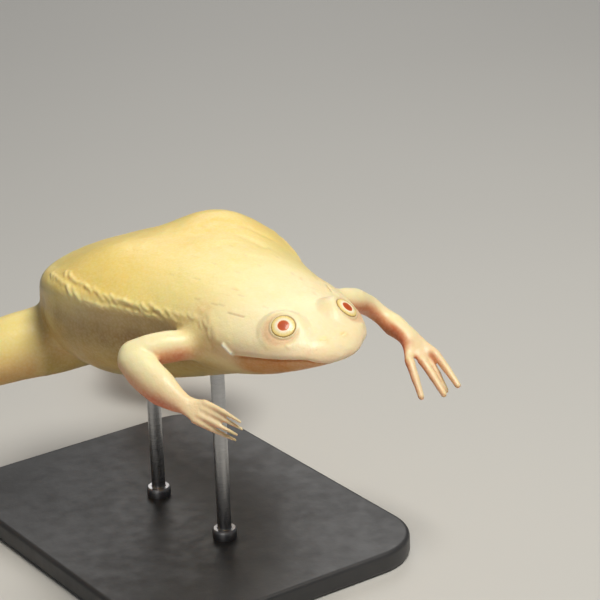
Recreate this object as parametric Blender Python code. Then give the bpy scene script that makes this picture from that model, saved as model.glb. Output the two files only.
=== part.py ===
"""An albino African clawed frog, life size, floating with its arms held out, on a plain display stand.

The frog is modelled about its own snout: x runs to the frog's left, y backwards from the tip of the
snout and z up. Lengths are hundredths of the snout-to-vent length, and one such unit is UNIT metres.
At the end everything is moved so that the origin lies under the middle of the whole model.
"""

import math

import bmesh
import bpy
from mathutils import Matrix, Vector

SNOUT_VENT = 0.100
UNIT = SNOUT_VENT / 100.0
GAP = 0.3
WELD = 0.02

# Head and trunk: y, half width, height of the back, of the belly, and of the widest line
BODY = [
    (3.0, 0.0, 0.6, 0.6, 0.6),
    (3.6, 3.9, 2.0, -0.7, 0.7),
    (5.2, 6.8, 3.7, -1.9, 0.8),
    (8.4, 10.2, 5.1, -3.4, 0.9),
    (13.8, 13.4, 6.6, -5.6, 0.9),
    (20.8, 16.1, 7.9, -8.1, 0.8),
    (28.0, 17.6, 9.1, -10.3, 0.6),
    (36.0, 18.4, 10.0, -13.2, 0.6),
    (46.0, 20.8, 10.4, -17.0, 0.6),
    (58.0, 25.8, 10.0, -21.0, 0.2),
    (70.0, 28.4, 8.8, -23.8, -0.8),
    (80.0, 26.6, 6.2, -24.0, -2.0),
    (90.0, 21.0, 2.6, -20.6, -4.0),
    (96.4, 12.8, -1.8, -15.4, -6.6),
    (99.6, 7.2, -5.0, -12.4, -8.2),
    (100.8, 0.0, -8.8, -8.8, -8.8),
]
BODY_SIDES = 40
HEAD_BACK = 26.0
HEAD_ROWS = 15
TRUNK_ROWS = 24
SECTION_POWER = 0.92
BODY_END = 100.6

# Swellings of the body: x, y, z, radius, height. The right hip is held lower than the left
BODY_FORMS = [
    (7.6, 12.7, 6.2, 5.0, 1.0),
    (-7.6, 12.7, 6.2, 5.0, 1.0),
    (13.0, 67.6, 6.9, 10.4, 3.6),
    (-13.0, 67.6, 6.9, 10.4, 1.5),
]

# The mouth runs back from the snout to MOUTH_CORNER. It falls by MOUTH_FALL for each unit backwards, and
# the upper lip hangs lower in front: MOUTH_DIP is the place, width and depth of that dip. The lower jaw
# lies inside the lip by LIP in front
MOUTH_CORNER = 20.0
MOUTH_HEIGHT = 1.35
MOUTH_FALL = 0.078
MOUTH_DIP = (3.0, 1.6, 2.0)
LIP = 0.9

EYE_CENTRE = (7.4, 12.5, 5.15)
EYE_RADIUS = 2.9
EYE_AXIS = (0.38, -0.49, 0.785)
# The eye's flat front: its radius, the height of its edge over the centre, and its rise in the middle
IRIS_RADIUS = 2.45
IRIS_EDGE = 1.6
IRIS_RISE = 0.42
EYE_LIFT = 1.0
LID_RADIUS = 2.7
LID_THICKNESS = 0.5
NOSTRIL = (2.4, 5.5, 4.1)
NOSTRIL_RADIUS = 0.55
TENTACLE_ROOT = (9.2, 9.4, 3.7)
TENTACLE_AIM = (0.05, -0.80, -0.55)
TENTACLE_LENGTH = 1.4

# Limb segments, each from the body outwards: x, y, z, half width, half depth
UPPER_ARM = {
    "right": [
        (-9.0, 29.6, -2.6, 4.0, 3.8),
        (-12.6, 30.5, -2.4, 3.8, 3.6),
        (-16.6, 32.0, -1.9, 3.4, 3.3),
        (-20.3, 33.5, -1.6, 3.4, 3.3),
        (-24.2, 35.2, -1.8, 3.4, 3.2),
        (-28.6, 37.2, -2.7, 3.4, 3.2),
    ],
    "left": [
        (10.0, 29.6, 0.0, 4.0, 3.8),
        (14.6, 30.5, 0.6, 3.6, 3.4),
        (21.1, 32.2, -1.6, 3.0, 2.9),
        (27.3, 34.0, -3.8, 2.9, 2.8),
        (31.4, 34.9, -6.2, 2.8, 2.6),
    ],
}
FOREARM = {
    "right": [
        (-29.4, 36.4, -3.3, 3.3, 3.2),
        (-29.0, 33.4, -4.6, 3.8, 3.3),
        (-28.5, 30.4, -6.0, 3.8, 3.0),
        (-27.9, 27.4, -7.3, 3.3, 2.6),
        (-27.2, 24.8, -8.4, 2.8, 2.2),
        (-26.8, 23.4, -8.9, 2.7, 1.9),
    ],
    "left": [
        (32.2, 34.8, -7.2, 2.7, 2.5),
        (33.8, 32.8, -9.0, 2.8, 2.5),
        (34.6, 30.2, -10.4, 2.9, 2.5),
        (35.2, 27.6, -11.4, 3.2, 2.4),
        (35.4, 25.6, -12.4, 3.2, 2.1),
    ],
}
ARM_SIDE = {"right": (-0.55, 0.30, -0.80), "left": (0.75, 0.1, -0.65)}
ARM_SIDES = 14

# The hand: the side its outer edge faces, the palm, and the tips of the fingers from the inner one
HAND_OUTER = {"right": (-0.85, -0.27, -0.45), "left": (0.93, 0.20, 0.25)}
HAND_AIM = {"right": (0.43, -0.86, -0.27), "left": (0.05, -0.76, -0.65)}
HAND_WIDTH = {"right": 0.9, "left": 1.2}
PALM = [(0.9, 2.5, 1.3), (1.7, 2.3, 0.9), (2.5, 1.8, 0.5)]
FINGER_TIPS = {
    "right": [(-20.8, 9.0, -10.5), (-20.4, 9.0, -12.2), (-21.0, 10.0, -13.6), (-20.6, 11.2, -15.3)],
    "left": [(29.9, 15.0, -21.4), (34.7, 13.0, -21.4), (37.1, 15.4, -22.0), (37.8, 12.0, -19.8)],
}
FINGER_ROOT = 0.8
FINGER_SPACE = 1.35
FINGER_RADIUS = {"right": 0.9, "left": 1.18}
FINGER_TIP = {"right": 0.34, "left": 0.72}
FINGER_BOW = {"right": 0.15, "left": 0.5}
FINGER_SPREAD = {"right": 0.36, "left": 0.05}

THIGH = {
    "right": [
        (-12.0, 84.0, -15.4, 8.0, 7.8),
        (-20.0, 86.2, -16.4, 8.2, 7.8),
        (-28.0, 88.3, -16.9, 7.9, 7.2),
        (-36.0, 91.4, -18.7, 7.0, 6.2),
        (-43.0, 95.0, -20.8, 5.8, 5.2),
        (-47.4, 98.0, -22.4, 5.0, 4.8),
    ],
    "left": [
        (12.0, 84.0, -15.4, 8.0, 7.8),
        (20.0, 86.2, -16.4, 8.2, 7.8),
        (28.0, 88.6, -17.2, 7.9, 7.2),
        (35.6, 92.2, -19.4, 7.0, 6.2),
        (42.0, 96.4, -22.0, 5.8, 5.2),
        (46.0, 100.0, -24.0, 5.0, 4.8),
    ],
}
SHANK = {
    "right": [
        (-48.0, 99.0, -23.0, 4.8, 4.6),
        (-47.6, 104.6, -25.2, 6.0, 5.4),
        (-43.4, 111.6, -27.8, 6.4, 5.6),
        (-38.0, 119.6, -30.6, 5.2, 4.4),
        (-33.4, 127.2, -33.2, 3.7, 3.2),
    ],
    "left": [
        (46.6, 101.0, -24.6, 4.8, 4.6),
        (45.8, 106.6, -27.0, 6.0, 5.4),
        (41.4, 113.4, -29.8, 6.4, 5.6),
        (35.8, 121.0, -32.8, 5.2, 4.4),
        (31.0, 128.4, -35.6, 3.7, 3.2),
    ],
}
TARSUS = {
    "right": [
        (-33.0, 128.0, -33.5, 3.4, 3.0),
        (-34.0, 133.2, -35.2, 3.4, 2.7),
        (-37.6, 138.6, -37.0, 3.3, 2.4),
        (-42.0, 143.4, -38.8, 3.5, 2.2),
    ],
    "left": [
        (30.6, 129.2, -35.9, 3.4, 3.0),
        (31.2, 134.6, -37.8, 3.4, 2.7),
        (34.2, 140.2, -40.0, 3.3, 2.4),
        (38.2, 145.2, -42.2, 3.5, 2.2),
    ],
}
LEG_SIDES = 16
LEG_SIDE = (0.0, 0.35, 1.0)

FOOT_AIM = {"right": (-0.70, 0.68, -0.20), "left": (0.62, 0.72, -0.22)}
FOOT_OUTER = {"right": (0.62, 0.76, 0.0), "left": (-0.72, 0.68, -0.05)}
# Toes from the inner to the outer: turn outwards in degrees, length
TOES = [(-42.0, 20.0), (-25.0, 27.0), (-7.0, 35.0), (12.0, 41.0), (31.0, 36.0)]
TOE_SPACE = 1.35
TOE_RADIUS = 1.45
TOE_TIP = 0.8
TOE_STEPS = 13
WEB_THICKNESS = 0.6
WEB_REACH = 0.76
CLAWED_TOES = 3
CLAW_LENGTH = 3.0
CLAW_RADIUS = 0.75

STAND_BASE = (74.0, 96.0, 5.0)
STAND_Y = 68.0
STAND_CORNER = 14.0
STAND_FLOOR = -64.0
ROD_RADIUS = 1.6
ROD_PLACES = {"front": 50.0, "rear": 78.0}

MATERIALS = {
    "skin_back": ((0.80, 0.62, 0.26), 0.38, 0.0),
    "skin_limb": ((0.82, 0.60, 0.38), 0.38, 0.0),
    "eye": ((0.62, 0.16, 0.07), 0.12, 0.0),
    "claw": ((0.20, 0.11, 0.06), 0.30, 0.0),
    "stand": ((0.04, 0.04, 0.042), 0.42, 0.0),
    "rod": ((0.66, 0.66, 0.67), 0.28, 1.0),
}


def smooth_rows(rows, amounts):
    """Rows of numbers read at amounts from 0 to len(rows) - 1, along one smooth curve through them."""
    knots = [0.0]
    for a, b in zip(rows, rows[1:]):
        knots.append(knots[-1] + math.sqrt(math.dist(a[:3], b[:3])))
    last = len(rows) - 1

    def slope(i, k):
        before, after = max(i - 1, 0), min(i + 1, last)
        return (rows[after][k] - rows[before][k]) / (knots[after] - knots[before])

    found = []
    for amount in amounts:
        i = min(int(amount), last - 1)
        t = amount - i
        step = knots[i + 1] - knots[i]
        found.append(
            [
                (2 * t**3 - 3 * t**2 + 1) * rows[i][k]
                + (t**3 - 2 * t**2 + t) * step * slope(i, k)
                + (3 * t**2 - 2 * t**3) * rows[i + 1][k]
                + (t**3 - t**2) * step * slope(i + 1, k)
                for k in range(len(rows[0]))
            ]
        )
    return found


def spread(first, last, count):
    return [first + (last - first) * k / (count - 1) for k in range(count)]


def rounded_power(value, power):
    return math.copysign(abs(value) ** power, value)


def material_named(name):
    found = bpy.data.materials.get(name)
    if found:
        return found
    colour, roughness, metallic = MATERIALS[name]
    found = bpy.data.materials.new(name)
    found.use_nodes = True
    shader = found.node_tree.nodes["Principled BSDF"]
    shader.inputs["Base Color"].default_value = (*colour, 1.0)
    shader.inputs["Roughness"].default_value = roughness
    shader.inputs["Metallic"].default_value = metallic
    return found


def object_of(bm, name, material):
    """A named object from a bmesh given in body units."""
    bmesh.ops.recalc_face_normals(bm, faces=bm.faces)
    mesh = bpy.data.meshes.new(name)
    bm.to_mesh(mesh)
    bm.free()
    mesh.materials.append(material_named(material))
    mesh.shade_smooth()
    made = bpy.data.objects.new(name, mesh)
    bpy.context.collection.objects.link(made)
    return made


def skinned(rings, start_tip=None, end_tip=None):
    """A closed bmesh over rings of points. An end is a flat cap, or runs to a tip."""
    bm = bmesh.new()
    loops = [[bm.verts.new(p) for p in ring] for ring in rings]
    for a, b in zip(loops, loops[1:]):
        for k in range(len(a)):
            after = (k + 1) % len(a)
            bm.faces.new((a[k], a[after], b[after], b[k]))
    for loop, tip in ((loops[0], start_tip), (loops[-1], end_tip)):
        if tip is None:
            bm.faces.new(loop)
            continue
        point = bm.verts.new(tip)
        for k in range(len(loop)):
            bm.faces.new((loop[k], loop[(k + 1) % len(loop)], point))
    return bm


def form_lift(point, forms):
    """How far the swellings move a point of the body outwards."""
    total = 0.0
    for x, y, z, radius, height in forms:
        away = math.dist(point, (x, y, z)) / radius
        total += height * math.exp(-away * away)
    return total


def body_ring(row, sides, narrower=0.0):
    """One cross-section of the head and trunk, with its swellings."""
    y, half, top, bottom, middle = row
    half = max(half - narrower, 0.05)
    ring = []
    for k in range(sides):
        turn = 2 * math.pi * k / sides
        across = rounded_power(math.cos(turn), SECTION_POWER)
        high = rounded_power(math.sin(turn), SECTION_POWER)
        reach = top - middle if high > 0 else middle - bottom
        point = Vector((half * across, y, middle + reach * high))
        out = Vector((across * reach, 0.0, high * half))
        if out.length > 0:
            point += out.normalized() * form_lift(point, BODY_FORMS)
        ring.append(point)
    return ring


def body_amount(y):
    """The place along BODY, counted in rows, where the body is at y."""
    low, high = 0.0, len(BODY) - 1.0
    for _ in range(40):
        middle = (low + high) / 2
        if smooth_rows(BODY, [middle])[0][0] < y:
            low = middle
        else:
            high = middle
    return low


def body_between(front, back, rows):
    amounts = spread(body_amount(front), body_amount(back), rows)
    return [body_ring(row, BODY_SIDES) for row in smooth_rows(BODY, amounts)]


def limb(rows, count, sides, side_hint, name, round_end=False, grow=0.0):
    """A limb segment over its rows. grow makes it larger all round, to cut what lies against it."""
    last = len(rows) - 1
    amounts = spread(0, last, count)
    step = 0.02
    rings = []
    for amount, row in zip(amounts, smooth_rows(rows, amounts)):
        near = smooth_rows(rows, [max(amount - step, 0), min(amount + step, last)])
        along = (Vector(near[1][:3]) - Vector(near[0][:3])).normalized()
        rings.append(oval(Vector(row[:3]), along, side_hint, row[3] + grow, row[4] + grow, sides))
    end = Vector(rows[-1][:3])
    if not round_end:
        if grow:
            rings.append([p + along * grow for p in rings[-1]])
        return object_of(skinned(rings), name, "skin_limb")
    reach = (row[3] + row[4]) / 2 + grow
    for angle in (25, 50, 72):
        turn = math.radians(angle)
        wide, deep = (row[3] + grow) * math.cos(turn), (row[4] + grow) * math.cos(turn)
        rings.append(oval(end + along * (reach * math.sin(turn)), along, side_hint, wide, deep, sides))
    return object_of(skinned(rings, None, end + along * reach), name, "skin_limb")


def oval(centre, along, side_hint, half_wide, half_deep, sides):
    wide = Vector(side_hint) - along * along.dot(Vector(side_hint))
    wide.normalize()
    deep = along.cross(wide)
    return [
        centre
        + wide * half_wide * math.cos(2 * math.pi * k / sides)
        + deep * half_deep * math.sin(2 * math.pi * k / sides)
        for k in range(sides)
    ]


def flipped(vector):
    return (-vector[0], vector[1], vector[2])


def apply_boolean(target, tools, operation):
    """Joins or cuts target by the tools in one step, keeps its largest closed surface, and removes them."""
    group = bpy.data.collections.new("tools")
    bpy.context.scene.collection.children.link(group)
    for tool in tools:
        for home in list(tool.users_collection):
            home.objects.unlink(tool)
        group.objects.link(tool)
    change = target.modifiers.new("change", "BOOLEAN")
    change.operation = operation
    change.operand_type = "COLLECTION"
    change.collection = group
    change.solver = "EXACT"
    bpy.context.view_layer.update()
    graph = bpy.context.evaluated_depsgraph_get()
    mesh = bpy.data.meshes.new_from_object(target.evaluated_get(graph))
    target.modifiers.clear()
    target.data = mesh
    for tool in tools:
        bpy.data.objects.remove(tool)
    bpy.data.collections.remove(group)
    keep_largest(mesh)


def keep_largest(mesh):
    bm = bmesh.new()
    bm.from_mesh(mesh)
    left = set(bm.verts)
    shells = []
    while left:
        shell, todo = set(), [left.pop()]
        while todo:
            vert = todo.pop()
            shell.add(vert)
            for edge in vert.link_edges:
                other = edge.other_vert(vert)
                if other in left:
                    left.discard(other)
                    todo.append(other)
        shells.append(shell)
    shells.sort(key=len)
    bmesh.ops.delete(bm, geom=[v for shell in shells[:-1] for v in shell], context="VERTS")
    bmesh.ops.remove_doubles(bm, verts=bm.verts, dist=WELD)
    bmesh.ops.dissolve_degenerate(bm, edges=bm.edges, dist=WELD)
    bmesh.ops.triangulate(bm, faces=[f for f in bm.faces if len(f.verts) > 4])
    bm.to_mesh(mesh)
    bm.free()


def ball(name, centre, radius, material, across=20, rows=12, facing=None):
    bm = bmesh.new()
    bmesh.ops.create_uvsphere(bm, u_segments=across, v_segments=rows, radius=radius)
    if facing:
        turn = Vector((0, 0, 1)).rotation_difference(Vector(facing).normalized())
        bmesh.ops.rotate(bm, matrix=turn.to_matrix(), verts=bm.verts)
    bmesh.ops.translate(bm, vec=centre, verts=bm.verts)
    return object_of(bm, name, material)


def swollen_trunk(by):
    """The trunk's own shape, larger by a gap, to cut what grows from it."""
    front, back = HEAD_BACK - 8.0, BODY_END
    rings = body_between(front, back, TRUNK_ROWS + 10)
    grown = []
    for ring in rings:
        centre = sum(ring, Vector()) / len(ring)
        grown.append([p + (p - centre).normalized() * by for p in ring])
    middle = smooth_rows(BODY, [len(BODY) - 1])[0]
    return object_of(skinned(grown, None, (0.0, middle[0] + by, middle[4])), "cutter", "stand")


def make_trunk():
    rings = body_between(HEAD_BACK + GAP, BODY_END, TRUNK_ROWS)
    end = smooth_rows(BODY, [len(BODY) - 1])[0]
    return object_of(skinned(rings, None, (0.0, end[0], end[4])), "trunk", "skin_back")


def make_head():
    tip = smooth_rows(BODY, [0])[0]
    rings = body_between(tip[0] + 0.25, HEAD_BACK, HEAD_ROWS)
    head = object_of(skinned(rings, (0.0, tip[0], tip[4]), None), "head", "skin_back")
    additions = []
    for side in (1, -1):
        axis = Vector((side * EYE_AXIS[0], EYE_AXIS[1], EYE_AXIS[2])).normalized()
        centre = Vector((side * EYE_CENTRE[0], EYE_CENTRE[1], EYE_CENTRE[2]))
        additions.append(lid_ring(centre + axis * EYE_LIFT, axis))
        additions.append(tentacle(side))
    apply_boolean(head, additions, "UNION")
    cutters = [mouth_cutter()]
    for side in (1, -1):
        centre = (side * EYE_CENTRE[0], EYE_CENTRE[1], EYE_CENTRE[2])
        cutters.append(ball("cutter", centre, EYE_RADIUS + GAP, "eye"))
        cutters.append(nostril_cutter(side))
    apply_boolean(head, cutters, "DIFFERENCE")
    return head


def lid_ring(centre, axis):
    """The low rim of skin around an eye."""
    around, across = 20, 6
    turn = Vector((0, 0, 1)).rotation_difference(axis)
    rings = []
    for k in range(around):
        angle = 2 * math.pi * k / around
        out = Vector((math.cos(angle), math.sin(angle), 0.0))
        ring = []
        for j in range(across):
            roll = 2 * math.pi * j / across
            offset = out * (LID_RADIUS + LID_THICKNESS * math.cos(roll))
            offset.z = LID_THICKNESS * math.sin(roll)
            ring.append(centre + turn @ offset)
        rings.append(ring)
    bm = bmesh.new()
    loops = [[bm.verts.new(p) for p in ring] for ring in rings]
    for a, b in zip(loops, loops[1:] + loops[:1]):
        for j in range(across):
            after = (j + 1) % across
            bm.faces.new((a[j], a[after], b[after], b[j]))
    return object_of(bm, "lid", "skin_back")


def tentacle(side):
    """The short feeler below an eye."""
    root = Vector((side * TENTACLE_ROOT[0], TENTACLE_ROOT[1], TENTACLE_ROOT[2]))
    aim = Vector((side * TENTACLE_AIM[0], *TENTACLE_AIM[1:])).normalized()
    rings = [
        oval(root + aim * (TENTACLE_LENGTH * t), aim, (0, 0, 1), r, r, 6)
        for t, r in ((-0.8, 0.6), (0.5, 0.5), (0.9, 0.34))
    ]
    return object_of(skinned(rings, None, root + aim * TENTACLE_LENGTH), "tentacle", "skin_back")


def nostril_cutter(side):
    centre = Vector((side * NOSTRIL[0], NOSTRIL[1], NOSTRIL[2]))
    return ball("cutter", centre, NOSTRIL_RADIUS, "eye", 8, 6)


def mouth_line(y):
    """Height of the mouth at y."""
    place, width, depth = MOUTH_DIP
    return MOUTH_HEIGHT - MOUTH_FALL * y - depth * math.exp(-(((y - place) / width) ** 2))


def mouth_cutter(lower=False):
    """A block as wide as the head, under the mouth line to cut the head, or over it to cut the jaw."""
    wide, deep, front = 24.0, 24.0 if lower else -24.0, -4.0
    back = HEAD_BACK + 4.0 if lower else MOUTH_CORNER
    drop = GAP if lower else 0.0
    dip, behind = MOUTH_DIP[0], MOUTH_DIP[0] + 3.0 * MOUTH_DIP[1]
    rings = []
    for y in (front, *spread(dip, behind, 9), (behind + back) / 2, back):
        line = mouth_line(max(y, dip)) - drop
        corners = ((-wide, line), (wide, line), (wide, deep), (-wide, deep))
        rings.append([Vector((x, y, z)) for x, z in corners])
    return object_of(skinned(rings), "cutter", "stand")


def make_jaw():
    tip = smooth_rows(BODY, [0])[0]
    front, back = tip[0] + 1.4, MOUTH_CORNER - GAP
    amounts = spread(body_amount(front), body_amount(back), HEAD_ROWS - 3)
    rings = []
    for row in smooth_rows(BODY, amounts):
        inset = LIP * (1 - (row[0] / MOUTH_CORNER) ** 2)
        rings.append(body_ring(row, BODY_SIDES, inset))
    jaw = object_of(skinned(rings, (0.0, tip[0] + 1.0, tip[4] - 1.4), None), "lower_jaw", "skin_limb")
    apply_boolean(jaw, [mouth_cutter(lower=True)], "DIFFERENCE")
    return jaw


def make_eyes():
    for name, side in (("eye_left", 1), ("eye_right", -1)):
        centre = (side * EYE_CENTRE[0], EYE_CENTRE[1], EYE_CENTRE[2])
        axis = Vector(flipped(EYE_AXIS) if side < 0 else EYE_AXIS).normalized()
        flatten_front(ball(name, centre, EYE_RADIUS, "eye", 20, 12, axis), Vector(centre), axis)


def flatten_front(eye, centre, axis):
    """Brings the front of a ball back to the hardly domed disc of the iris."""
    for vert in eye.data.vertices:
        high = (vert.co - centre).dot(axis)
        out = min((vert.co - centre - axis * high).length / IRIS_RADIUS, 1.0)
        disc = IRIS_EDGE + IRIS_RISE * (1.0 - out * out)
        if high > disc:
            vert.co -= axis * (high - disc)


def make_arm(side):
    hint = ARM_SIDE[side]
    upper = limb(UPPER_ARM[side], 7, ARM_SIDES, hint, f"{side}_upper_arm", True)
    apply_boolean(upper, [swollen_trunk(GAP)], "DIFFERENCE")
    lower = limb(FOREARM[side], 8, ARM_SIDES, hint, f"{side}_forearm")
    apply_boolean(lower, [limb(UPPER_ARM[side], 7, ARM_SIDES, hint, "cutter", True, GAP)], "DIFFERENCE")
    make_hand(side)


def make_hand(side):
    """A palm that carries on from the wrist, with four long fingers."""
    rows = FOREARM[side]
    wrist, before = Vector(rows[-1][:3]), Vector(smooth_rows(rows, [len(rows) - 1.05])[0][:3])
    along = (wrist - before).normalized()
    aim = Vector(HAND_AIM[side]).normalized()
    outer = Vector(HAND_OUTER[side])
    outer = (outer - aim * outer.dot(aim)).normalized()
    start = wrist + along * GAP
    rings = [oval(start, along, ARM_SIDE[side], rows[-1][3], rows[-1][4], 12)]
    broad = HAND_WIDTH[side]
    for forward, half_wide, half_deep in PALM:
        ring = oval(start + aim * forward, aim, outer, broad * half_wide, half_deep, 12)
        rings.append(aligned(rings[0], ring))
    hand = object_of(skinned(rings), f"{side}_hand", "skin_limb")
    fingers = []
    for k, tip in enumerate(FINGER_TIPS[side]):
        place = k - (len(FINGER_TIPS[side]) - 1) / 2
        root = start + aim * FINGER_ROOT + outer * (broad * FINGER_SPACE * place)
        bow = Vector((0, 0, FINGER_BOW[side])) + outer * (broad * FINGER_SPREAD[side] * place)
        fingers.append(finger(root, Vector(tip), bow, FINGER_RADIUS[side], FINGER_TIP[side]))
    apply_boolean(hand, fingers, "UNION")


def aligned(first, ring):
    """ring, turned round so that its points face those of first."""
    count = len(ring)
    centre_a, centre_b = sum(first, Vector()) / count, sum(ring, Vector()) / count
    choices = [ring[k:] + ring[:k] for k in range(count)]
    choices += [choice[::-1] for choice in choices]
    return min(choices, key=lambda c: sum(((p - centre_b) - (q - centre_a)).length for p, q in zip(c, first)))


def finger(root, tip, bow, thick, thin):
    """A finger from root to tip, bowed a little upwards and away from its neighbours."""
    rings = []
    for t in (0.0, 0.25, 0.5, 0.75, 0.94):
        centre = root.lerp(tip, t) + bow * math.sin(math.pi * t)
        along = (tip - root + bow * (math.pi * math.cos(math.pi * t))).normalized()
        radius = thick + (thin - thick) * t**1.3
        rings.append(oval(centre, along, (1, 0, 0), radius, radius, 8))
    return object_of(skinned(rings, None, tip), "finger", "skin_limb")


def make_leg(side):
    thigh_rows, shank_rows, tarsus_rows = THIGH[side], SHANK[side], TARSUS[side]
    thigh = limb(thigh_rows, 9, LEG_SIDES, LEG_SIDE, f"{side}_thigh", True)
    apply_boolean(thigh, [swollen_trunk(GAP)], "DIFFERENCE")
    shank = limb(shank_rows, 9, LEG_SIDES, LEG_SIDE, f"{side}_shank", True)
    apply_boolean(shank, [limb(thigh_rows, 9, LEG_SIDES, LEG_SIDE, "cutter", True, GAP)], "DIFFERENCE")
    tarsus = limb(tarsus_rows, 6, LEG_SIDES, LEG_SIDE, f"{side}_tarsus")
    apply_boolean(tarsus, [limb(shank_rows, 9, LEG_SIDES, LEG_SIDE, "cutter", True, GAP)], "DIFFERENCE")
    make_foot(side, tarsus_rows)


def toe_frame(side):
    aim = Vector(FOOT_AIM[side]).normalized()
    outer = Vector(FOOT_OUTER[side])
    outer = (outer - aim * outer.dot(aim)).normalized()
    top = outer.cross(aim) if side == "right" else aim.cross(outer)
    if top.z < 0:
        top = -top
    return aim, outer, top


def make_foot(side, rows):
    """Five toes and the web between them, as one sheet with a ridge along each toe, and the claws."""
    aim, outer, top = toe_frame(side)
    heel = Vector(rows[-1][:3]) + aim * GAP
    columns = []
    for k in range(len(TOES)):
        columns += [(k, shift, None) for shift in (-1.0, -0.6, 0.0, 0.6, 1.0)]
        if k + 1 < len(TOES):
            columns += [(k, None, share) for share in (0.33, 0.67)]
    upper, lower = [], []
    for k, shift, share in columns:
        placed = [
            foot_point(k, shift, share, j / (TOE_STEPS - 1), aim, outer, heel) for j in range(TOE_STEPS)
        ]
        upper.append([point + top * half for point, half in placed])
        lower.append([point - top * half for point, half in placed])
    object_of(sheet_between(upper, lower), f"{side}_foot", "skin_limb")
    for k in range(CLAWED_TOES):
        end, _ = toe_point(k, 1.0, aim, outer, heel)
        before, _ = toe_point(k, 0.9, aim, outer, heel)
        claw(f"{side}_claw_{k + 1}", end, (end - before).normalized(), top)


def sheet_between(upper, lower):
    """A closed thin sheet between two grids of points, split into triangles alike on both faces."""
    bm = bmesh.new()
    above = [[bm.verts.new(p) for p in column] for column in upper]
    below = [[bm.verts.new(p) for p in column] for column in lower]
    wide, long = len(above), len(above[0])
    for i in range(wide - 1):
        for j in range(long - 1):
            for grid in (above, below):
                a, b, c, d = grid[i][j], grid[i + 1][j], grid[i + 1][j + 1], grid[i][j + 1]
                bm.faces.new((a, b, c))
                bm.faces.new((a, c, d))
    edge = [(i, 0) for i in range(wide)]
    edge += [(wide - 1, j) for j in range(1, long)]
    edge += [(i, long - 1) for i in range(wide - 2, -1, -1)]
    edge += [(0, j) for j in range(long - 2, 0, -1)]
    for (i, j), (m, n) in zip(edge, edge[1:] + edge[:1]):
        bm.faces.new((above[i][j], below[i][j], below[m][n], above[m][n]))
    return bm


def claw(name, end, way, top):
    """A small horny claw on the end of a toe, hooked a little downwards."""
    rings = []
    for t, share in ((0.0, 1.0), (0.35, 0.8), (0.7, 0.48)):
        centre = end + way * (GAP + CLAW_LENGTH * t) - top * (0.5 * t * t)
        rings.append(oval(centre, way, top, CLAW_RADIUS * share, CLAW_RADIUS * share, 8))
    object_of(skinned(rings, None, end + way * (GAP + CLAW_LENGTH) - top * 0.6), name, "claw")


def toe_point(k, t, aim, outer, heel):
    """Centre of toe k at the share t of its length, and the way across it."""
    turn, length = math.radians(TOES[k][0]), TOES[k][1]
    way = aim * math.cos(turn) + outer * math.sin(turn)
    across = outer * math.cos(turn) - aim * math.sin(turn)
    root = heel + outer * (TOE_SPACE * (k - 2))
    return root + way * (length * t), outer.lerp(across, min(1.0, 4 * t)).normalized()


def foot_point(k, shift, share, t, aim, outer, heel):
    """A point of the foot's sheet and half its thickness there."""
    radius = TOE_RADIUS + (TOE_TIP - TOE_RADIUS) * t
    reach = radius * min(1.0, 0.42 + 1.6 * t)
    web = WEB_THICKNESS / 2
    if share is None:
        centre, across = toe_point(k, t, aim, outer, heel)
        half = web + (radius - web) * (1.0 if shift == 0.0 else 0.7 if abs(shift) < 0.9 else 0.0)
        return centre + across * (shift * reach), half
    hem = 1.0 - (1.0 - WEB_REACH) * math.sin(math.pi * share)
    here, across_here = toe_point(k, t * hem, aim, outer, heel)
    there, across_there = toe_point(k + 1, t * hem, aim, outer, heel)
    return (here + across_here * reach).lerp(there - across_there * reach, share), web


def make_stand():
    wide, long, thick = STAND_BASE
    corners = []
    for cx, cy, start in ((1, 1, 0), (-1, 1, 90), (-1, -1, 180), (1, -1, 270)):
        for k in range(7):
            angle = math.radians(start + 15 * k)
            corners.append(
                (
                    cx * (wide / 2 - STAND_CORNER) + STAND_CORNER * math.cos(angle),
                    STAND_Y + cy * (long / 2 - STAND_CORNER) + STAND_CORNER * math.sin(angle),
                )
            )
    rings = [[Vector((x, y, z)) for x, y in corners] for z in (STAND_FLOOR, STAND_FLOOR + thick)]
    object_of(skinned(rings), "stand_base", "stand")
    for name, y in ROD_PLACES.items():
        bottom = STAND_FLOOR + thick + GAP
        top = 0.0
        rings = [
            oval(Vector((0.0, y, z)), Vector((0, 0, 1)), (1, 0, 0), ROD_RADIUS, ROD_RADIUS, 16)
            for z in (bottom, top)
        ]
        rod = object_of(skinned(rings), f"stand_rod_{name}", "rod")
        apply_boolean(rod, [swollen_trunk(GAP)], "DIFFERENCE")


def centre_on_floor():
    """Brings the whole model to metres, with the origin under its middle, on the floor."""
    objects = list(bpy.context.scene.objects)
    corners = [v.co for o in objects for v in o.data.vertices]
    low = [min(c[k] for c in corners) for k in range(3)]
    high = [max(c[k] for c in corners) for k in range(3)]
    shift = Vector((-(low[0] + high[0]) / 2, -(low[1] + high[1]) / 2, -low[2]))
    for o in objects:
        o.data.transform(Matrix.Scale(UNIT, 4) @ Matrix.Translation(shift))


def main():
    for old in list(bpy.data.objects):
        bpy.data.objects.remove(old)
    make_head()
    make_jaw()
    make_trunk()
    make_eyes()
    for side in ("left", "right"):
        make_arm(side)
        make_leg(side)
    make_stand()
    centre_on_floor()


main()
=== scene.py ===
"""An albino African clawed frog, floating with its arms held out, on a plain display stand.

Everything is worked out in the frog's own frame, as its solids are: x runs to the frog's left, y
backwards from the tip of the snout and z up, in hundredths of the snout-to-vent length. One skin
covers head, trunk, limbs and webs. It is fused from lofts, eased where they meet, and then shaped
and tinted by forms worked out from the place of each of its points.
"""

import itertools
import math

import bmesh
import bpy
import numpy as np
from mathutils import Matrix, Vector


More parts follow.
